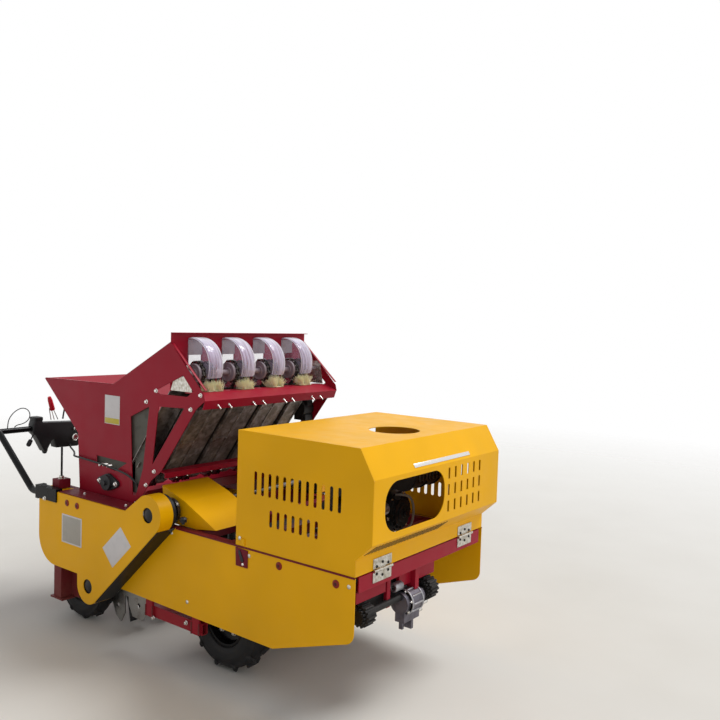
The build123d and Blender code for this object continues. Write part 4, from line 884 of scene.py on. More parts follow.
def build_bolts():
    """Bolts on the sides and clamps, flat screws on the skirts, studs under the lip and the tie rail."""
    places = on_sides(HOPPER_BOLTS, HOPPER_Y) + on_sides(GUIDE_BOLTS, GUIDE_FACE_Y)
    places += on_sides(CLAMP_BOLTS, CLAMP_FACE_Y)
    places += [moved((x, sign * y, FOOT_BOLT_Z)) @ facing(Z) for sign in SIDES for x, y in FOOT_BOLTS]
    done(copies(hex_head(sizes().bolt_across), places), "machine_bolts", "bright", "machine", 30)
    flat = spun([(0, 0), (0, 0.0085), (0.0014, 0.0080), (0.0030, 0.0055), (0.0034, 0)], 20)
    done(copies(flat, on_sides(SKIRT_SCREWS, SKIRT_Y)), "skirt_screws", "zinc", "machine", 30)
    out = Y.cross(LIP_EDGE - LIP_FOOT).normalized()
    studs = [moved(LIP_FOOT.lerp(LIP_EDGE, 0.45) + Y * y) @ facing(out + Z * -0.35) for y in LIP_STUD_YS]
    studs += [moved((0.146, y, 0.806)) @ facing((0.35, 0, -1)) for y in TIE_STUD_YS]
    done(copies(stud_end(0.0036, 0.027), studs), "rail_studs", "bright", "machine", 30)
    screws = on_sides(COVER_SCREWS, SKIRT_Y)
    done(copies(round_head(0.009), screws), "cover_screws", "zinc", "engine_cover", 30)


def build_hinge_screws():
    """Three screws on each hinge leaf: the lower leaves stay, the upper ones swing with the cover."""
    model = round_head(0.0056)
    for name, body, up in (("beam_hinge_screws", "machine", -1), ("cover_hinge_screws", "engine_cover", 1)):
        places = [moved((BEAM_X + 0.003, y + along, HINGE_LINE_Z + up * off)) @ facing(X)
                  for y in HINGE_YS for along, off in HINGE_SCREWS]
        done(copies(model, places, keep=True), name, "muffler_steel", body, 30)
    bpy.data.objects.remove(model)


# Chains

def link_plate(pitch, half_height, y):
    """One waisted side plate from pin to pin along X, at a place across the chain."""
    points = []
    for index in range(7):
        angle = pi / 2 + pi * index / 6
        points.append(Vector((cos(angle) * half_height, y, sin(angle) * half_height)))
    points.append(Vector((pitch / 2, y, -half_height * 0.72)))
    for index in range(7):
        angle = -pi / 2 + pi * index / 6
        points.append(Vector((pitch + cos(angle) * half_height, y, sin(angle) * half_height)))
    points.append(Vector((pitch / 2, y, half_height * 0.72)))
    return points


def roller_links(pitch, height, inner_width, plate):
    """The two kinds of link of a roller chain, from the origin to one pitch along X: inner and outer."""
    half = height / 2
    inner = []
    outer = []
    for sign in SIDES:
        inner.append(slab(link_plate(pitch, half, sign * inner_width / 2), Y * sign * plate))
        outer.append(slab(link_plate(pitch, half, sign * (inner_width / 2 + plate * 1.15)), Y * sign * plate))
    for x in (0, pitch):
        inner.append(turned([(-inner_width / 2, 0), (-inner_width / 2, half * 0.72),
                             (inner_width / 2, half * 0.72), (inner_width / 2, 0)], (x, 0, 0), Y, 12))
        reach = inner_width / 2 + plate * 3.0
        outer.append(turned([(-reach, 0), (-reach, half * 0.24), (-reach + 0.0006, half * 0.34),
                             (reach - 0.0006, half * 0.34), (reach, half * 0.24), (reach, 0)],
                            (x, 0, 0), Y, 10))
    return joined(inner), joined(outer)


def loop_point(distance, low, high, radius):
    """A point a distance round a belt that runs over two equal wheels."""
    run = (high - low).length
    along, front = line_and_front(low, high)
    arc = pi * radius
    distance = distance % (2 * run + 2 * arc)
    if distance < run:
        return low + along * distance - front * radius
    if distance < run + arc:
        angle = (distance - run) / radius
        return high - front * radius * cos(angle) + along * radius * sin(angle)
    if distance < 2 * run + arc:
        return high - along * (distance - run - arc) + front * radius
    angle = (distance - 2 * run - arc) / radius
    return low + front * radius * cos(angle) - along * radius * sin(angle)


def chain_places(low, high, radius, pitch):
    """The place of every link round a loop, by turns inner and outer, as two lists of matrices."""
    length = 2 * (high - low).length + 2 * pi * radius
    count = 2 * round(length / pitch / 2)
    points = [loop_point(length * index / count, low, high, radius) for index in range(count)]
    kinds = ([], [])
    for index, point in enumerate(points):
        ahead = points[(index + 1) % count] - point
        turn = Matrix.Rotation(-atan2(ahead.z, ahead.x), 4, "Y")
        size = Matrix.Scale(ahead.length / pitch, 4, X)
        kinds[index % 2].append(moved(point) @ turn @ size)
    return kinds


def roller_chain(ys, low, high, radius, pitch, height, inner_width, plate):
    """A roller chain round two wheels, one loop at each place across, and its outer links' places."""
    models = roller_links(pitch, height, inner_width, plate)
    kinds = chain_places(low, high, radius, pitch)
    parts = []
    for y in ys:
        for model, places in zip(models, kinds):
            parts.append(copies(model, [moved(Y * y) @ place for place in places], keep=True))
    for model in models:
        bpy.data.objects.remove(model)
    return joined(parts), kinds[1]


def build_drive_chains():
    """Roller chain on the elevator wheels beside every hood, with bright pin ends."""
    pitch = sizes().drive_pitch
    chain_ys = [y + DRIVE_CHAIN_Y for y in ROW_YS]
    chains, outer_places = roller_chain(chain_ys, LOW_WHEEL, TOP_WHEEL, WHEEL_LINE_R + 0.002, pitch,
                                        0.014, 0.008, 0.0014)
    chains = done(chains, "elevator_roller_chains", "chain", "machine", 40)
    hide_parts("drive_chains")
    pins = turned([(-0.0002, 0), (-0.0002, 0.0028), (0.0006, 0.0022), (0.0006, 0)], (0, 0, 0), Y, 8)
    pin_places = []
    for y in chain_ys:
        for place in outer_places:
            for sign in SIDES:
                side = Y * (y + sign * 0.0082)
                pin_places.append(moved(place.translation + side))
                pin_places.append(moved(place @ Vector((pitch, 0, 0)) + side))
    done(copies(pins, pin_places), "elevator_chain_pin_ends", "bright", "machine", 40)


def build_case_chains():
    """The heavier chains inside the side cases."""
    chains, _ = roller_chain([sign * CASE_CHAIN_Y for sign in SIDES], LOBE, BOSS, CASE_LINE_R,
                             sizes().case_pitch, 0.019, 0.011, 0.0022)
    chains = done(chains, "case_roller_chains", "chain", "machine", 40)
    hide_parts("case_chains")


def sprocket(radius, teeth, width, bore):
    """A sprocket in the plane across Y at the origin."""
    points = []
    for index, angle in enumerate(round_circle(teeth * 4)):
        reach = radius + (0.0045 if index % 4 in (0, 1) else -0.0035)
        points.append(Vector((cos(angle) * reach, -width / 2, sin(angle) * reach)))
    disc = slab(points, Y * width, 0.0005, 1)
    rim = turned([(-width * 0.9, bore), (-width * 0.9, radius * 0.42), (-width * 0.5, radius * 0.46),
                  (width * 0.5, radius * 0.46), (width * 1.6, radius * 0.42), (width * 1.6, bore)],
                 (0, 0, 0), Y, 32)
    return joined([disc, rim])


def build_sprockets():
    """Toothed wheels under the chains, above and below, with pale hub plates beside the hoods."""
    centres = [centre + Y * (y + DRIVE_CHAIN_Y) for y in ROW_YS for centre in (TOP_WHEEL, LOW_WHEEL)]
    model = sprocket(WHEEL_LINE_R - 0.001, 12, 0.006, 0.012)
    done(copies(model, [moved(centre) for centre in centres]), "elevator_sprockets", "chain", "machine",
         35)
    plate = turned([(0.0, 0.012), (-0.004, 0.013), (-0.0045, 0.0190), (-0.0010, 0.0215), (-0.0010, 0.0355),
                    (-0.0040, 0.0385), (-0.0040, 0.0415), (-0.0020, 0.0430), (0.0080, 0.0430),
                    (0.0095, 0.0400), (0.0095, 0.012)], (0, 0, 0), Y, 44)
    done(copies(plate, [moved(centre - Y * 0.0160) for centre in centres]), "elevator_hub_plates", "hub_grey",
         "machine", 40)
    case_places = [moved(centre + Y * sign * CASE_CHAIN_Y) for sign in SIDES for centre in (BOSS, LOBE)]
    done(copies(sprocket(CASE_LINE_R - 0.002, 17, 0.008, 0.014), case_places), "case_sprockets", "chain",
         "machine", 35)


def build_case_fittings():
    """Black strips of painted shade in the cases' open diagonals, domed caps in their holes and a knob on
    top.
    """
    _, out = line_and_front(LOBE, BOSS)
    strips = []
    # painted shade: black strips fill each case's open diagonal, where shade falls between the case and its
    # skirt
    for sign in SIDES:
        low = LOBE + out * 0.0830 + Y * sign * 0.4625
        high = BOSS + out * 0.0830 + Y * sign * 0.4625
        strips.append(slab([low, high, high + out * 0.0075, low + out * 0.0035], Y * sign * 0.0925))
    done(joined(strips), "case_closing_strips", "seam_dark", "machine")
    cap = spun([(0, 0), (0, 0.037), (0.006, 0.037), (0.008, 0.027), (0.012, 0.019), (0.014, 0.008),
                (0.014, 0)], 36)
    caps = on_sides(((BOSS.x, BOSS.z), (LOBE.x, LOBE.z)), 0.545)
    done(copies(cap, caps), "case_caps", "black_plastic", "machine")
    knob = turned([(0, 0), (0, 0.007), (0.008, 0.007), (0.010, 0.015), (0.024, 0.016), (0.030, 0.010),
                   (0.031, 0)], (0.342, -0.480, 0.628), Z, 28)
    done(knob, "guard_knob", "black_plastic", "machine")


def cup_model():
    """One seed cup: a scoop open on its rising side, standing out along X from the chain, mouth along Z."""
    nothing_selected()
    bpy.ops.mesh.primitive_cube_add(size=1, location=(0.018, 0, 0.015))
    cup = bpy.context.object
    cup.scale = (0.034, 0.060, 0.034)
    settled(cup)
    for vertex in cup.data.vertices:
        if vertex.co.z < 0.01:
            vertex.co.y *= 0.68
            vertex.co.x = 0.006 + (vertex.co.x - 0.001) * 0.62
    softened(cup, 0.007, 4, 40)
    in_edit(cup)
    bpy.ops.mesh.select_all(action="DESELECT")
    bpy.ops.object.mode_set(mode="OBJECT")
    for face in cup.data.polygons:
        face.select = face.normal.z > 0.7 and face.center.z > 0.028
    bpy.ops.object.mode_set(mode="EDIT")
    bpy.ops.mesh.delete(type="FACE")
    bpy.ops.object.mode_set(mode="OBJECT")
    wall = cup.modifiers.new("wall", "SOLIDIFY")
    wall.thickness = 0.0022
    wall.offset = -1
    bpy.ops.object.modifier_apply(modifier="wall")
    return cup


CUP_STEPS = 8
CUP_PITCH = 0.084
CUP_START = 0.020


def build_cup_chains():
    """Cups on their chains, rising behind and falling in front."""
    along, front = line_and_front(LOW_WHEEL, TOP_WHEEL)
    cup = cup_model()
    places = []
    for y in ROW_YS:
        for step in range(CUP_STEPS):
            # no cup stands in front at the top, where the hood comes down
            for hand in SIDES if step < CUP_STEPS - 1 else (-1,):
                base = LOW_WHEEL + along * (CUP_START + step * CUP_PITCH) + front * hand * WHEEL_LINE_R
                turn = Matrix((front * hand, Y * hand, along)).transposed().to_4x4()
                places.append(moved(base + Y * y) @ turn)
    cups = done(copies(cup, places), "seed_cups", "grey_plastic", "machine", 40)
    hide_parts("cup_chains")
    chains, _ = roller_chain(ROW_YS, LOW_WHEEL, TOP_WHEEL, WHEEL_LINE_R, sizes().drive_pitch,
                             0.014, 0.012, 0.0018)
    done(chains, "cup_roller_chains", "chain", "machine", 40)


# Hoods and brushes

HOOD_WALL = 0.0025
HOOD_CORNER = 0.014


def hood_shell():
    """A clear drum with rounded rims, cut flat at the back panel and the shelf, and given its wall."""
    corner = []
    for index in range(5):
        angle = pi / 2 * index / 4
        corner.append((-(HOOD_HALF - HOOD_CORNER) - HOOD_CORNER * cos(angle),
                       HOOD_R - HOOD_CORNER + HOOD_CORNER * sin(angle)))
    section = [(-HOOD_HALF, 0.0), (-HOOD_HALF, 0.05), *corner,
               *((-along, radius) for along, radius in reversed(corner)), (HOOD_HALF, 0.05), (HOOD_HALF, 0.0)]
    drum = turned(section, HOOD_CENTRE, Y, 72)
    in_edit(drum)
    bpy.ops.mesh.bisect(plane_co=(PANEL_X + 0.0005, 0, 0), plane_no=(1, 0, 0), clear_inner=True)
    bpy.ops.mesh.select_all(action="SELECT")
    bpy.ops.mesh.bisect(plane_co=(0, 0, SHELF_Z + 0.0005), plane_no=(0, 0, 1), clear_inner=True)
    for normal in (X, Z):
        bpy.ops.mesh.select_all(action="SELECT")
        bpy.ops.mesh.bisect(plane_co=HOOD_FOOT, plane_no=normal)
    bpy.ops.mesh.select_all(action="DESELECT")
    bpy.ops.object.mode_set(mode="OBJECT")
    # the front of the foot is cut away over the brush
    for face in drum.data.polygons:
        face.select = face.center.x > HOOD_FOOT.x and face.center.z < HOOD_FOOT.z
    bpy.ops.object.mode_set(mode="EDIT")
    bpy.ops.mesh.delete(type="FACE")
    bpy.ops.object.mode_set(mode="OBJECT")
    wall = drum.modifiers.new("wall", "SOLIDIFY")
    wall.thickness = HOOD_WALL
    wall.offset = -1
    only(drum)
    bpy.ops.object.modifier_apply(modifier="wall")
    return drum


def build_hoods():
    """Four clear hoods, each over its cup chain."""
    hoods = copies(hood_shell(), [moved(Y * y) for y in ROW_YS])
    hoods = done(hoods, "clear_hoods", "clear", "machine", 50)
    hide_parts("metering_hoods")
    # painted highlights: thin white lines along the rims' rounded corners and down the edges of their feet
    radius = HOOD_R - HOOD_CORNER * 0.30
    top = radians(97)
    foot = -radians(21)
    highlight_lines = []
    for y in ROW_YS:
        for sign in SIDES:
            side = y + sign * (HOOD_HALF - HOOD_CORNER * 0.26)
            line = []
            for step in range(13):
                angle = top + (foot - top) * step / 12
                line.append(HOOD_CENTRE + Vector((cos(angle) * radius, side, sin(angle) * radius)))
            highlight_lines.append(wire(line, 0.0014))
            edge = y + sign * (HOOD_HALF - 0.0010)
            highlight_lines.append(wire([(HOOD_FOOT.x + 0.045, edge, HOOD_FOOT.z), (HOOD_FOOT.x, edge, HOOD_FOOT.z),
                              (HOOD_FOOT.x, edge, HOOD_FOOT.z - 0.004),
                              (HOOD_FOOT.x, edge, SHELF_Z + 0.002)], 0.0010))
    done(joined(highlight_lines), "hood_rims", "hood_rim", "machine", 60)
    # a pale plate lines the panel above the slot, inside each hood
    backs = [brick((PANEL_X + 0.0012, y, 1.3635), (0.0012, 0.080, 0.066), 0.0004, 1) for y in ROW_YS]
    done(joined(backs), "hood_backs", "hood_backing", "machine")


BRUSH_Y = (-0.054, 0.032)
BRUSH_X = (0.286, 0.344)
TUFTS = 20


def build_brushes():
    """Bristle clusters at the hoods' feet: tapered strands in tufts out of a low strip."""
    nothing_selected()
    bpy.ops.mesh.primitive_cone_add(vertices=4, radius1=0.0013, radius2=0.0004, depth=1.0,
                                    location=(0, 0, 0.5), end_fill_type="NOTHING")
    strand = settled(bpy.context.object)
    in_edit(strand)
    bpy.ops.mesh.subdivide(number_cuts=2)
    bpy.ops.object.mode_set(mode="OBJECT")
    for vertex in strand.data.vertices:
        vertex.co.x += 0.18 * vertex.co.z ** 2 * 0.04
    length = sizes().bristle_length
    chance = random.Random(11)
    places = []
    strips = []
    for y in ROW_YS:
        tufts = [(chance.uniform(BRUSH_X[0] + 0.008, BRUSH_X[1] - 0.006),
                  chance.uniform(BRUSH_Y[0] + 0.008, BRUSH_Y[1] - 0.008),
                  chance.uniform(-0.15, 0.55), chance.uniform(0.55, 1.0)) for _ in range(TUFTS)]
        for _ in range(sizes().bristles):
            x, across, lean, reach = chance.choice(tufts)
            tilt_x = chance.gauss(-0.28, 0.26)
            tilt_y = chance.gauss(lean, 0.30)
            turn = Matrix.Rotation(tilt_x, 4, "Y") @ Matrix.Rotation(tilt_y, 4, "X")
            size = Matrix.Diagonal((1, 1, length * reach * chance.uniform(0.72, 1.0), 1))
            root = Vector((x + chance.gauss(0, 0.004), y + across + chance.gauss(0, 0.004), SHELF_Z + 0.002))
            places.append(moved(root) @ turn @ size)
        middle = (sum(BRUSH_X) / 2, y + sum(BRUSH_Y) / 2, SHELF_Z + 0.0025)
        strips.append(brick(middle, (0.046, 0.074, 0.004), 0.0015))
    brushes = done(copies(strand, places), "cup_brushes", "bristle", "machine", 60)
    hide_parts("metering_brushes")
    done(joined(strips), "cup_brush_strips", "bristle", "machine")


# Plates, labels and buttons

DATA_PLATE = ((-0.428, 0.555), (-0.268, 0.555), (-0.268, 0.420), (-0.428, 0.420))
CASE_LABEL = ((-0.107, 0.455), (0.022, 0.572), (0.098, 0.500), (-0.032, 0.380))
HOPPER_LABEL = ((-0.278, 1.122), (-0.164, 1.122), (-0.164, 0.988), (-0.278, 0.988))
HOPPER_LABEL_BAND = ((-0.275, 1.016), (-0.167, 1.016), (-0.167, 0.991), (-0.275, 0.991))
CASE_BUTTONS = ((-0.389, 0.610), (-0.308, 0.609))
SKIRT_BUTTONS = ((0.878, 0.564), (1.156, 0.559))
# a strip on the cover's front bevel: (x, z) of its upper and lower edge, and y of its ends
TRIM_EDGES = ((1.2960, 0.9770), (1.3045, 0.9635))
TRIM_ENDS = (-0.200, 0.215)
# a plate or pad stands this far off its face, so that the two never meet
LIFT = 0.0003


def blank_plate(corners, y, thickness):
    """A thin blank plate on the right side through (x, z) corners."""
    return side_sheet(corners, -(y + LIFT), -thickness, thickness * 0.4)


def drawn_in(corners, share):
    """Corners drawn in towards their middle."""
    middle_x = sum(x for x, z in corners) / len(corners)
    middle_z = sum(z for x, z in corners) / len(corners)
    return [(middle_x + (x - middle_x) * share, middle_z + (z - middle_z) * share) for x, z in corners]


def build_plates():
    """Blank plates on the right side, red buttons on both, the cover's trim strip and the skirts' edging."""
    sheets = [blank_plate(DATA_PLATE, CASE_FACE_Y, 0.0012), blank_plate(CASE_LABEL, CASE_FACE_Y, 0.0006),
              blank_plate(HOPPER_LABEL, HOPPER_Y, 0.0006)]
    done(joined(sheets), "blank_plates", "white_plate", "machine")
    raised = blank_plate(drawn_in(DATA_PLATE, 0.90), CASE_FACE_Y + 0.0012, 0.0004)
    done(raised, "blank_plate_field", "grey_plate", "machine")
    band = blank_plate(HOPPER_LABEL_BAND, HOPPER_Y + 0.0006, 0.0003)
    done(band, "label_band", "yellow_band", "machine")
    button = spun([(0, 0), (0, 0.0155), (0.0015, 0.0155), (0.0024, 0.0125), (0.0046, 0.0105),
                   (0.0040, 0.0070), (0.0040, 0)], 28)
    centre = spun([(0.0030, 0), (0.0030, 0.0068), (0.0048, 0.0060), (0.0054, 0.0030), (0.0055, 0)], 20)
    places = on_sides(CASE_BUTTONS, CASE_FACE_Y) + on_sides(SKIRT_BUTTONS, SKIRT_Y)
    done(copies(button, places), "red_buttons", "red_plastic", "machine")
    done(copies(centre, places), "button_centres", "dark_plastic", "machine")
    (top_x, top_z), (low_x, low_z) = TRIM_EDGES
    right, left = TRIM_ENDS
    strip = [Vector((top_x, right, top_z)), Vector((top_x, left, top_z)),
             Vector((low_x, left, low_z)), Vector((low_x, right, low_z))]
    strip = slab(strip, Vector((0.0016, 0, 0.0010)), 0.0006)
    done(strip, "bevel_trim_strip", "bright", "engine_cover")
    edging = both_sides(brick((0.761, -0.4664, 0.5965), (0.962, 0.0022, 0.0070), 0.0006))
    done(edging, "skirt_edging", "dark_red_coat", "machine")


BEVEL_TOP = Vector((1.310, 0, 0.725))
BEVEL_FOOT = Vector((1.240, 0, 0.661))
BEVEL_SLOTS = 24
BEVEL_SLOT_START = -0.440
BEVEL_SLOT_PITCH = 0.021
# (y, z) corners of one slanted slot
BEVEL_SLOT = ((0.0, 0.677), (0.008, 0.677), (0.030, 0.711), (0.022, 0.711))


def build_bevel_slots():
    """Dark insets of painted shade in the diagonal slots under the cover's nose."""
    out = Y.cross(BEVEL_TOP - BEVEL_FOOT).normalized()
    # painted shade: the slots' dark insides are drawn as dark insets just under the bevel
    slot_shades = []
    for index in range(BEVEL_SLOTS):
        start = BEVEL_SLOT_START + index * BEVEL_SLOT_PITCH
        points = []
        for y, z in BEVEL_SLOT:
            share = (z - BEVEL_FOOT.z) / (BEVEL_TOP.z - BEVEL_FOOT.z)
            points.append(BEVEL_FOOT.lerp(BEVEL_TOP, share) + Y * (start + y) - out * 0.0006)
        slot_shades.append(slab(points, out * 0.0016))
    done(joined(slot_shades), "bevel_slot_gauze", "seam_dark", "engine_cover")


# Latches, as (x, z) corners on the skirt's face

LATCH_PAD = ((0.670, 0.632), (0.694, 0.632), (0.694, 0.603), (0.670, 0.603))
HASP_PLATE = ((0.644, 0.592), (0.713, 0.588), (0.713, 0.518), (0.648, 0.518))
HASP_CATCH = ((0.664, 0.582), (0.673, 0.584), (0.694, 0.546), (0.690, 0.538), (0.680, 0.540), (0.666, 0.572))
HASP_PLATE_THICKNESS = 0.004


def both_sheets(corners, y, thickness, width):
    """A sheet on each side face, pushed outwards."""
    return joined([side_sheet(corners, sign * y, sign * thickness, width) for sign in SIDES])


def build_latches():
    """An amber pad over a dark red hasp plate with a slanted catch and its screw, on each side."""
    face = SKIRT_Y + LIFT
    pads = done(both_sheets(LATCH_PAD, face, 0.0035, 0.0012), "latch_pads", "amber_coat", "engine_cover")
    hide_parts("cover_latches")
    plates = both_sheets(HASP_PLATE, face, HASP_PLATE_THICKNESS, 0.0015)
    done(plates, "hasp_plates", "dark_red_coat", "machine")
    catches = both_sheets(HASP_CATCH, face + HASP_PLATE_THICKNESS, 0.0045, 0.0015)
    done(catches, "hasp_catches", "cast_iron", "machine")
    screws = on_sides(((0.688, 0.530),), face + HASP_PLATE_THICKNESS)
    done(copies(round_head(0.0065), screws), "hasp_screws", "bright", "machine")


# Handlebar ends, leg screws, cables and control box

GRIP_RIBS = 14
# how far a rib reaches along the grip, and the radius there
GRIP_RIB = ((0.0, 0.0178), (0.0028, 0.0178), (0.0040, 0.0196), (0.0062, 0.0196))


def build_grips():
    """Ribbed rubber grips with a flange and a rounded end."""
    length = GRIP_START - GRIP_END
    section = [(0.0, 0.0165), (0.0, 0.0195), (0.004, 0.0200), (0.008, 0.0195)]
    for index in range(GRIP_RIBS):
        start = 0.010 + (length - 0.026) * index / GRIP_RIBS
        section += [(start + along, radius) for along, radius in GRIP_RIB]
    section += [(length - 0.014, 0.0190), (length - 0.006, 0.0196), (length - 0.001, 0.0150), (length, 0.0)]
    section.append((0.002, 0.0))
    grip = turned(section, (0, 0, 0), -X, 32)
    places = [moved((GRIP_START, sign * BAR_Y, BAR_Z)) for sign in SIDES]
    grips = done(copies(grip, places), "rubber_grips", "rubber", "machine", 30)
    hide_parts("handle_grips")


THREAD_START = 0.690
THREAD_TURNS = 28
THREAD_PITCH = 0.0035


def build_leg_screws():
    """Adjusting screws with their nut blocks and nuts."""
    section = [(THREAD_START, 0.0), (THREAD_START, 0.0052)]
    for index in range(THREAD_TURNS):
        low = THREAD_START + 0.002 + index * THREAD_PITCH
        section += [(low, 0.0046), (low + 0.0018, 0.0054)]
    section += [(0.792, 0.0050), (0.846, 0.0050), (0.848, 0.0040), (0.848, 0.0)]
    feet = [Vector((LEG.x - SCREW_SHIFT, sign * LEG.y, 0)) for sign in SIDES]
    rods = copies(spun(section, 20), [moved(foot) for foot in feet])
    screws = done(rods, "leg_threads", "black_gloss", "machine", 30)
    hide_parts("leg_screws")
    blocks = [brick(foot + Z * 0.6720, (0.060, 0.064, 0.046), 0.004, 3) for foot in feet]
    done(joined(blocks), "leg_nut_blocks", "dark_red_coat", "machine")
    nuts = copies(hex_head(0.022), [moved(foot + Z * 0.694) for foot in feet])
    done(nuts, "leg_nuts", "zinc", "machine", 30)


# the clutch cable's line from the control box to the elevator drive, and the throttle cable's loop
CLUTCH_LINE = (
    (-1.045, -0.130, 0.760), (-1.000, -0.155, 0.753), (-0.903, -0.210, 0.765), (-0.770, -0.280, 0.773),
    (-0.661, -0.350, 0.795), (-0.570, -0.405, 0.800), (-0.515, -0.446, 0.803), (-0.470, -0.449, 0.803),
    (-0.398, -0.448, 0.800), (-0.331, -0.448, 0.796), (-0.267, -0.448, 0.794), (-0.178, -0.448, 0.784),
    (-0.110, -0.447, 0.776), (-0.062, -0.445, 0.762), (-0.040, -0.434, 0.738), (-0.032, -0.412, 0.700),
    (-0.032, -0.408, 0.655),
)
THROTTLE_LOOP = (
    (-1.070, -0.480, 0.881), (-1.070, -0.479, 0.912), (-1.068, -0.466, 0.944), (-1.066, -0.438, 0.972),
    (-1.064, -0.400, 0.986), (-1.064, -0.366, 0.970), (-1.064, -0.356, 0.936), (-1.066, -0.374, 0.908),
    (-1.068, -0.404, 0.896), (-1.070, -0.430, 0.894), (-1.070, -0.442, 0.883),
)


def build_cables():
    """The two black cables, drawn along the lines that they hang in."""
    cables = joined([wire(CLUTCH_LINE, 0.0045, 12), wire(THROTTLE_LOOP, 0.0025, 10)])
    cables = done(cables, "black_cables", "rubber", "machine", 60)
    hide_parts("control_cables")


# the control box seen from the front, as (y, z) corners, and half its depth
CONSOLE_OUTLINE = ((-0.343, 0.912), (-0.300, 0.915), (-0.294, 0.899), (-0.054, 0.886), (-0.050, 0.778),
                   (-0.080, 0.747), (-0.216, 0.751), (-0.224, 0.799), (-0.240, 0.793), (-0.268, 0.740),
                   (-0.283, 0.736), (-0.334, 0.830), (-0.352, 0.846), (-0.350, 0.888))
CONSOLE_HALF = 0.028
# (y, z) lines of the black lever stems with their thickness, and of the bright rods
BLACK_STEMS = ((((-0.330, 0.850), (-0.338, 0.826), (-0.346, 0.812), (-0.352, 0.798)), 0.0035),
               (((-0.160, 0.905), (-0.156, 0.935), (-0.150, 0.960), (-0.147, 0.985)), 0.0045))
BRIGHT_RODS = ((-0.231, -0.243), (-0.212, -0.232), (-0.190, -0.222))


def build_controls():
    """The control box with its switches, levers and gauges."""
    box_x = CROSSBAR_X
    outline = [Vector((box_x - CONSOLE_HALF, y, z)) for y, z in CONSOLE_OUTLINE]
    case = slab(outline, X * CONSOLE_HALF * 2, 0.006, 3)
    console = done(case, "console_case", "black_plastic", "machine")
    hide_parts("control_box")
    black = [brick((box_x, -0.318, 0.918), (0.058, 0.048, 0.024), 0.006, 3)]
    for line, radius in BLACK_STEMS:
        black.append(wire([(box_x, y, z) for y, z in line], radius))
    black.append(spun_at([(0, 0), (0, 0.009), (0.006, 0.012), (0.030, 0.0125), (0.037, 0.009), (0.040, 0)],
                         24, (box_x, -0.348, 0.806), (0, -0.48, -0.88)))
    cap = spun([(0, 0), (0, 0.007), (0.010, 0.009), (0.022, 0.008), (0.026, 0)], 20)
    cap.data.transform(moved((box_x, -0.148, 0.975)))
    black.append(cap)
    black.append(spun_at([(0, 0), (0, 0.017), (0.010, 0.016), (0.026, 0.010), (0.030, 0)], 24,
                         (box_x, -0.268, 0.750), (0, 0, -1)))
    done(joined(black), "control_knobs", "black_plastic", "machine")
    rods = []
    for y_low, y_high in BRIGHT_RODS:
        line = [(box_x, y_low, 0.905), (box_x, (y_low + y_high) / 2, 0.940), (box_x, y_high, 0.970)]
        rods.append(wire(line, 0.0028))
    done(joined(rods), "lever_rods", "bright", "machine")
    grip = spun_at([(0, 0), (0, 0.011), (0.006, 0.014), (0.060, 0.0125), (0.078, 0.009), (0.082, 0)], 28,
                   (box_x, -0.222, 0.958), (0, -0.28, 0.96))
    grip = done(grip, "lever_grip", "red_grip", "machine")
    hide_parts("control_levers")
    face_x = box_x + CONSOLE_HALF
    gauge = spun_at([(0, 0), (0, 0.020), (0.006, 0.020), (0.010, 0.017), (0.010, 0.0145), (0.008, 0.0130),
                     (0.0085, 0)], 32, (face_x, -0.100, 0.800), X)
    switch = spun_at([(0, 0), (0, 0.012), (0.004, 0.012), (0.008, 0.009), (0.014, 0.008), (0.017, 0)], 28,
                     (face_x, -0.098, 0.848), X)
    done(joined([gauge, switch]), "console_chrome", "bright", "machine")


# Engine bay

ENGINE_FRONT_X = 0.985
STARTER = Vector((ENGINE_FRONT_X, 0.125, 0.692))
FUEL_LINE = ((1.020, 0.095, 0.770), (1.052, 0.130, 0.772), (1.062, 0.166, 0.745), (1.064, 0.178, 0.690),
             (1.058, 0.172, 0.635), (1.040, 0.165, 0.612))
# y of each ring on the electric starter, and its radius
MOTOR_RINGS = ((-0.062, 0.022), (-0.064, 0.012), (0.028, 0.020))


def starter_rib(angle):
    """One rib of the recoil starter's grille, pointing away from its middle."""
    out = Vector((0, cos(angle), sin(angle)))
    side = Vector((0, -sin(angle), cos(angle)))
    centre = STARTER + X * 0.0475 + out * 0.064
    return slab([centre + out * 0.007 + side * 0.004, centre - out * 0.007 + side * 0.003,
                 centre - out * 0.007 - side * 0.003, centre + out * 0.007 - side * 0.004], X * 0.004, 0.001)


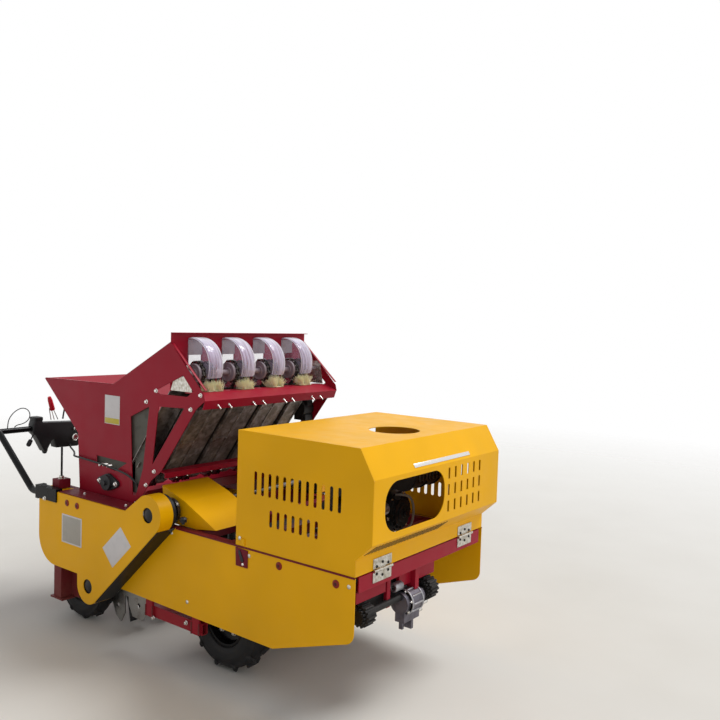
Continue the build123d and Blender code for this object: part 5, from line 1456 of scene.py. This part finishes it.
def build_engine_details():
    """What shows through the cover's window: starter ribs and pull, hose, bolts, rings, cap, louvres."""
    ribs = [starter_rib(angle) for angle in round_circle(16)]
    cup = turned([(0.070, 0.0), (0.070, 0.010), (0.074, 0.012), (0.078, 0.010), (0.079, 0.0)], STARTER, X, 24)
    handle = brick(STARTER + Vector((0.060, -0.052, 0.072)), (0.016, 0.040, 0.014), 0.005, 3)
    done(joined([*ribs, cup, handle]), "starter_ribs", "black_plastic", "machine")
    done(wire(FUEL_LINE, 0.0055, 10), "fuel_hose", "pale_hose", "machine", 60)
    bolts = []
    for angle in round_circle(6, 0.2):
        bolts.append(moved(STARTER + X * 0.035 + Vector((0, cos(angle), sin(angle))) * 0.081) @ facing(X))
    bolts += [moved((ENGINE_FRONT_X, y, z)) @ facing(X) for y in (-0.05, 0.16) for z in (0.640, 0.775)]
    done(copies(hex_head(0.010), bolts), "engine_bolts", "bright", "machine", 30)
    rings = []
    for y, radius in MOTOR_RINGS:
        bore = radius * 0.5
        rings.append(turned([(-0.003, bore), (-0.003, radius), (0.003, radius), (0.003, bore)],
                            (1.015, y, 0.722), Y, 28))
    done(joined(rings), "starter_motor_rings", "bright", "machine")
    cap = turned([(0.0, 0.0), (0.0, 0.036), (0.006, 0.038), (0.020, 0.038), (0.024, 0.034), (0.024, 0.020),
                  (0.030, 0.018), (0.030, 0.0)], (0.950, 0.020, 1.000), Z, 36)
    done(cap, "tank_cap", "black_plastic", "machine")
    slots = [brick((1.1545, 0.075 + index * 0.026, 0.874), (0.004, 0.012, 0.060), 0.0018)
             for index in range(7)]
    done(joined(slots), "muffler_louvres", "chain", "machine")


# Front gear case

# y of each flange's face, and the way its bolts face
FLANGE_YS = (-0.090, -0.018)
FLANGE_BOLTS = ((-0.090, -1), (-0.010, 1))


def build_gear_details():
    """Flanges with ribs and bolts, pins and a hanger on the gear case, and the dark housing behind it."""
    silver = []
    for y in FLANGE_YS:
        silver.append(turned([(0, 0.020), (0, 0.052), (0.002, 0.054), (0.006, 0.054), (0.008, 0.051),
                              (0.008, 0.020)], GEAR + Y * y, Y, 40))
    for angle in round_circle(10):
        middle = GEAR + Vector((cos(angle) * 0.0515, -0.050, sin(angle) * 0.0515))
        silver.append(brick(middle, (0.007, 0.062, 0.007), 0.002))
    silver.append(turned([(0, 0.010), (0, 0.017), (0.003, 0.019), (0.049, 0.019), (0.052, 0.017),
                          (0.052, 0.010)], (GEAR.x, -0.158, 0.474), Y, 32))
    done(joined(silver), "gear_flanges", "raw_casting", "machine", 35)
    heads = []
    for y, sign in FLANGE_BOLTS:
        for angle in round_circle(6, 0.25):
            spot = GEAR + Vector((cos(angle) * 0.045, y, sin(angle) * 0.045))
            heads.append(moved(spot) @ facing(Y * sign))
    done(copies(hex_head(0.009), heads), "gear_bolts", "bright", "machine", 30)
    pins = []
    for y, z in ((0.079, 0.358), (0.038, 0.336)):
        pins.append(turned([(-0.030, 0.0092), (-0.030, 0.0102), (0.008, 0.0102), (0.010, 0.0088), (0.010, 0)],
                           (GEAR.x, y, z), Y, 24))
    pins.append(turned([(0, 0), (0, 0.016), (0.006, 0.016), (0.006, 0.010), (0.019, 0.009), (0.019, 0)],
                       (GEAR.x, 0.115, 0.414), Y, 24))
    pins.append(turned([(0, 0), (0, 0.010), (0.004, 0.011), (0.009, 0.009), (0.010, 0)],
                       (1.197, -0.026, 0.452), X, 24))
    done(joined(pins), "gear_pins", "bright", "machine")
    hanger = brick((1.189, -0.188, 0.471), (0.016, 0.024, 0.132), 0.002)
    done(hanger, "gear_hanger", "crimson_coat", "machine")
    # the belt housing shows as a dark mass behind the shaft
    housing = brick((1.146, -0.110, 0.472), (0.048, 0.480, 0.124), 0.008, 3)
    done(housing, "belt_housing", "muffler_steel", "machine")


# Hopper details

# ends (x, z) of the hopper sides' open edges that have a folded flange
FLANGE_EDGES = (((0.185, 1.386), (0.407, 1.192)), ((-0.220, 1.173), (0.185, 1.386)),
                ((-0.791, 1.164), (-0.220, 1.173)))
# places (x, z) of the drive rods' ends, which lean out of the rear window
DRIVE_RODS = ((-0.309, 0.786), (-0.278, 0.790), (-0.247, 0.788))
# (x, z) corners of the stained sheets behind the hopper sides' openings
LINERS = (((-0.355, 0.850), (-0.060, 0.850), (-0.060, 0.735), (-0.355, 0.735)),
          ((-0.100, 1.045), (0.055, 1.105), (0.060, 0.980), (0.020, 0.780), (-0.050, 0.690), (-0.090, 0.690)))
LINER_Y = 0.424


def build_hopper_edges():
    """Flanges on the hopper sides' open edges, drive rods and bolts, and sheets behind the openings."""
    strips = []
    for (x0, z0), (x1, z1) in FLANGE_EDGES:
        start = Vector((x0, HOPPER_Y - 0.003, z0))
        end = Vector((x1, HOPPER_Y - 0.003, z1))
        up = (end - start).cross(Y).normalized()
        inward = Y * -0.012
        strips.append(slab([start, end, end + inward, start + inward], up * 0.003, 0.0008))
    done(both_sides(joined(strips)), "hopper_flanges", "crimson_coat", "machine")
    rods = []
    for x, z in DRIVE_RODS:
        rods.append(turned([(0, 0), (0, 0.006), (0.003, 0.0075), (0.05, 0.0075), (0.05, 0)],
                           (x, -HOPPER_Y - 0.008, z), Vector((0.25, 1, 0.1)), 20))
    done(joined(rods), "drive_rods", "bright", "machine")
    heads = on_sides(((-0.296, 0.715), (-0.172, 0.715)), HOPPER_Y + 0.012)
    done(copies(hex_head(0.015), heads), "flange_bolts", "bright", "machine", 30)
    liners = [side_sheet(corners, sign * LINER_Y, sign * -0.0015) for sign in SIDES for corners in LINERS]
    done(joined(liners), "hopper_liners", "stained_sheet", "machine")


DUCT_FRONT = 0.094
DUCT_HALF = 0.047
SHADE_STRIP_FRONT = 0.0836
SEAM_START = 0.098
SEAM_LENGTH = 0.400
STRAP_DISTANCES = (0.130, 0.300, 0.470)


def build_duct_fittings():
    """Straps, rivets and lapped seams on the seed ducts' fronts, and strips of painted shade in the gaps
    beside the ducts.
    """
    along, front = line_and_front(LOW_WHEEL, TOP_WHEEL)

    def strip(middle, length, half_width, push, width=0.0):
        """A strip up the duct from a point in the middle of its foot."""
        side = Y * half_width
        top = middle + along * length
        return slab([middle - side, middle + side, top + side, top - side], front * push, width)

    straps = []
    rivets = []
    gap_shades = []
    for y in ROW_YS:
        row = LOW_WHEEL + Y * y
        for distance in STRAP_DISTANCES:
            middle = row + along * distance + front * DUCT_FRONT
            straps.append(strip(middle - along * 0.007, 0.014, DUCT_HALF, 0.0018, 0.0006))
            for sign in SIDES:
                rivets.append(moved(middle + Y * sign * 0.036 + front * 0.002) @ facing(front))
        foot = row + along * SEAM_START
        for sign in SIDES:
            edge = foot + front * DUCT_FRONT + Y * sign * (DUCT_HALF - 0.006)
            straps.append(strip(edge, SEAM_LENGTH, 0.005, 0.0035, 0.001))
            # painted shade: a dark strip stands in the gap beside each duct, where shade falls
            gap = foot + front * SHADE_STRIP_FRONT + Y * sign * (DUCT_HALF + 0.006)
            gap_shades.append(strip(gap, SEAM_LENGTH, 0.006, 0.0012))
    done(joined(straps), "duct_straps", "galvanised", "machine")
    done(joined(gap_shades), "duct_seams", "seam_dark", "machine")
    done(copies(round_head(0.0050), rivets), "duct_rivets", "galvanised", "machine")


WELD_STEP = 0.0045


def build_weld_beads():
    """Weld beads where the legs, hangers and beam meet the rails."""
    nothing_selected()
    bpy.ops.mesh.primitive_uv_sphere_add(segments=8, ring_count=6, radius=0.0042)
    drop = settled(bpy.context.object)
    places = []
    lines = []
    for sign in SIDES:
        for x in (0.053, 0.099, 0.361, 0.407):
            lines.append(((x, sign * 0.4405, 0.203), (x, sign * 0.4405, 0.157)))
        lines.append(((-0.598, sign * 0.461, 0.250), (-0.428, sign * 0.461, 0.250)))
        lines.append(((1.235, sign * 0.440, 0.540), (1.180, sign * 0.440, 0.540)))
    for start, end in lines:
        start, end = Vector(start), Vector(end)
        count = max(2, round((end - start).length / WELD_STEP))
        for index in range(count + 1):
            places.append(moved(start.lerp(end, index / count)) @ Matrix.Scale(0.8, 4, Z))
    done(copies(drop, places), "weld_beads", "dark_red_coat", "machine", 60)


# Stage

# name, strength, width in degrees, place and the way towards the lamp
LAMPS = (
    ("key_light", 2.1, 28, (3, 2, 5), (0.28, 0.46, 0.84)),
    ("fill_light", 0.45, 60, (4, -1, 2), (0.90, -0.15, 0.40)),
)


def build_floor():
    """A pale dusty floor that fades into the background away from the machine."""
    nothing_selected()
    bpy.ops.mesh.primitive_circle_add(vertices=96, radius=9.0, fill_type="NGON")
    floor = settled(bpy.context.object)
    floor.name = "floor"
    material, shader, place = new_finish("pale_floor", linear("d9d5cd"), 0.75)
    cloud = add_node(material, "ShaderNodeTexNoise", Vector=place, Scale=1 / 0.5, Detail=4.0, Roughness=0.5)
    layered(material, shader, linear("d4d0c8"), (cloud.outputs["Fac"], linear("dedbd4")))
    distance = add_node(material, "ShaderNodeVectorMath", {"operation": "LENGTH"}, _0=place).outputs["Value"]
    fade = add_node(material, "ShaderNodeMapRange", _0=distance, _1=2.2, _2=8.5).outputs["Result"]
    clear = add_node(material, "ShaderNodeBsdfTransparent")
    blend = add_node(material, "ShaderNodeMixShader", _0=fade, _1=shader.outputs[0], _2=clear.outputs[0])
    feed(material, material.node_tree.nodes["Material Output"], Surface=blend.outputs[0])
    floor.data.materials.append(material)


def build_world():
    """An even cool sky that lights the scene, and plain white wherever the camera sees it."""
    world = bpy.data.worlds.new("studio")
    bpy.context.scene.world = world
    world.use_nodes = True
    world.node_tree.nodes.clear()
    path = add_node(world, "ShaderNodeLightPath").outputs
    seen = path["Is Camera Ray"]
    for other in ("Is Glossy Ray", "Is Transmission Ray"):
        seen = add_node(world, "ShaderNodeMath", {"operation": "MAXIMUM"}, _0=seen, _1=path[other]).outputs[0]
    light = add_node(world, "ShaderNodeBackground", Color=linear("f4f6fa"), Strength=0.45)
    white = add_node(world, "ShaderNodeBackground", Color=(1, 1, 1, 1), Strength=1.0)
    mix = add_node(world, "ShaderNodeMixShader", _0=seen, _1=light.outputs[0], _2=white.outputs[0])
    add_node(world, "ShaderNodeOutputWorld", Surface=mix.outputs[0])


def build_lamps():
    """A wide key light from high on the left, and a low fill from the front."""
    nothing_selected()
    for name, energy, width, at, towards in LAMPS:
        bpy.ops.object.light_add(type="SUN", location=at)
        lamp = bpy.context.object
        lamp.name = name
        lamp.data.energy = energy
        lamp.data.angle = radians(width)
        lamp.rotation_euler = Vector(towards).to_track_quat("Z", "Y").to_euler()


def build_camera():
    """The photograph's camera, with colours shown as they are."""
    back = Vector((sin(CAMERA_AZIMUTH) * cos(CAMERA_DOWN), -cos(CAMERA_AZIMUTH) * cos(CAMERA_DOWN),
                   sin(CAMERA_DOWN)))
    right = (-back).cross(Z).normalized()
    up = right.cross(-back)
    right_rolled = right * cos(CAMERA_ROLL) + up * sin(CAMERA_ROLL)
    up_rolled = up * cos(CAMERA_ROLL) - right * sin(CAMERA_ROLL)
    bpy.ops.object.camera_add(location=CAMERA_AT)
    camera = bpy.context.object
    camera.rotation_euler = Matrix((right_rolled, up_rolled, back)).transposed().to_euler()
    camera.data.lens = CAMERA_LENS
    camera.data.sensor_width = CAMERA_SENSOR
    camera.data.clip_start = 0.05
    bpy.context.scene.camera = camera
    bpy.context.scene.view_settings.view_transform = "Standard"


class PLANTER_OT_stage(bpy.types.Operator):
    """Set up the floor, the light and the camera"""

    bl_idname = "planter.stage"
    bl_label = "Stage"
    bl_options = {"REGISTER", "UNDO"}

    def execute(self, context):
        build_floor()
        build_world()
        build_lamps()
        build_camera()
        return {"FINISHED"}


class PLANTER_OT_paintwork(bpy.types.Operator):
    """Give the built pieces their finishes"""

    bl_idname = "planter.paintwork"
    bl_label = "Paintwork"
    bl_options = {"REGISTER", "UNDO"}

    def execute(self, context):
        finish_built_pieces()
        return {"FINISHED"}


class PLANTER_OT_wheels(bpy.types.Operator):
    """Model the tyres and rims"""

    bl_idname = "planter.wheels"
    bl_label = "Wheels"
    bl_options = {"REGISTER", "UNDO"}

    def execute(self, context):
        build_wheels()
        return {"FINISHED"}


class PLANTER_OT_chains(bpy.types.Operator):
    """Model the roller chains, sprockets and seed cups"""

    bl_idname = "planter.chains"
    bl_label = "Chains and Cups"
    bl_options = {"REGISTER", "UNDO"}

    def execute(self, context):
        build_drive_chains()
        build_case_chains()
        build_sprockets()
        build_case_fittings()
        build_cup_chains()
        return {"FINISHED"}


class PLANTER_OT_hoods(bpy.types.Operator):
    """Model the clear hoods and their brushes"""

    bl_idname = "planter.hoods"
    bl_label = "Hoods and Brushes"
    bl_options = {"REGISTER", "UNDO"}

    def execute(self, context):
        build_hoods()
        build_brushes()
        return {"FINISHED"}


class PLANTER_OT_fasteners(bpy.types.Operator):
    """Model the bolts, screws and weld beads"""

    bl_idname = "planter.fasteners"
    bl_label = "Fasteners"
    bl_options = {"REGISTER", "UNDO"}

    def execute(self, context):
        build_bolts()
        build_hinge_screws()
        build_weld_beads()
        return {"FINISHED"}


class PLANTER_OT_plates(bpy.types.Operator):
    """Model the blank plates, the buttons and the latches"""

    bl_idname = "planter.plates"
    bl_label = "Plates and Latches"
    bl_options = {"REGISTER", "UNDO"}

    def execute(self, context):
        build_plates()
        build_bevel_slots()
        build_latches()
        return {"FINISHED"}


class PLANTER_OT_controls(bpy.types.Operator):
    """Model the grips, the control box's fittings and the leg screws"""

    bl_idname = "planter.controls"
    bl_label = "Controls"
    bl_options = {"REGISTER", "UNDO"}

    def execute(self, context):
        build_grips()
        build_controls()
        build_cables()
        build_leg_screws()
        return {"FINISHED"}


class PLANTER_OT_machinery(bpy.types.Operator):
    """Model the engine's and the gear case's details"""

    bl_idname = "planter.machinery"
    bl_label = "Machinery"
    bl_options = {"REGISTER", "UNDO"}

    def execute(self, context):
        build_engine_details()
        build_gear_details()
        return {"FINISHED"}


class PLANTER_OT_hopper(bpy.types.Operator):
    """Model the hopper's flanges and the ducts' fittings"""

    bl_idname = "planter.hopper"
    bl_label = "Hopper Details"
    bl_options = {"REGISTER", "UNDO"}

    def execute(self, context):
        build_hopper_edges()
        build_duct_fittings()
        return {"FINISHED"}


STEPS = (PLANTER_OT_stage, PLANTER_OT_paintwork, PLANTER_OT_wheels, PLANTER_OT_chains, PLANTER_OT_hoods,
         PLANTER_OT_fasteners, PLANTER_OT_plates, PLANTER_OT_controls, PLANTER_OT_machinery,
         PLANTER_OT_hopper)


class PLANTER_PT_panel(bpy.types.Panel):
    """Lists the planter's sizes, colours and steps."""

    bl_idname = "PLANTER_PT_panel"
    bl_label = "Garlic Planter"
    bl_space_type = "VIEW_3D"
    bl_region_type = "UI"
    bl_category = "Planter"

    def draw(self, context):
        layout = self.layout
        for group in (context.scene.planter_colours, context.scene.planter_sizes):
            for name in group.__annotations__:
                layout.prop(group, name)
        for step in STEPS:
            layout.operator(step.bl_idname)


CLASSES = (PlanterColours, PlanterSizes, *STEPS, PLANTER_PT_panel)


def register():
    for cls in CLASSES:
        bpy.utils.register_class(cls)
    bpy.types.Scene.planter_colours = PointerProperty(type=PlanterColours)
    bpy.types.Scene.planter_sizes = PointerProperty(type=PlanterSizes)


def unregister():
    del bpy.types.Scene.planter_sizes
    del bpy.types.Scene.planter_colours
    for cls in reversed(CLASSES):
        bpy.utils.unregister_class(cls)


def main():
    register()
    nothing_selected()
    bpy.ops.planter.stage()
    bpy.ops.planter.paintwork()
    bpy.ops.planter.wheels()
    bpy.ops.planter.chains()
    bpy.ops.planter.hoods()
    bpy.ops.planter.fasteners()
    bpy.ops.planter.plates()
    bpy.ops.planter.controls()
    bpy.ops.planter.machinery()
    bpy.ops.planter.hopper()
    nothing_selected()


if __name__ == "__main__":
    main()
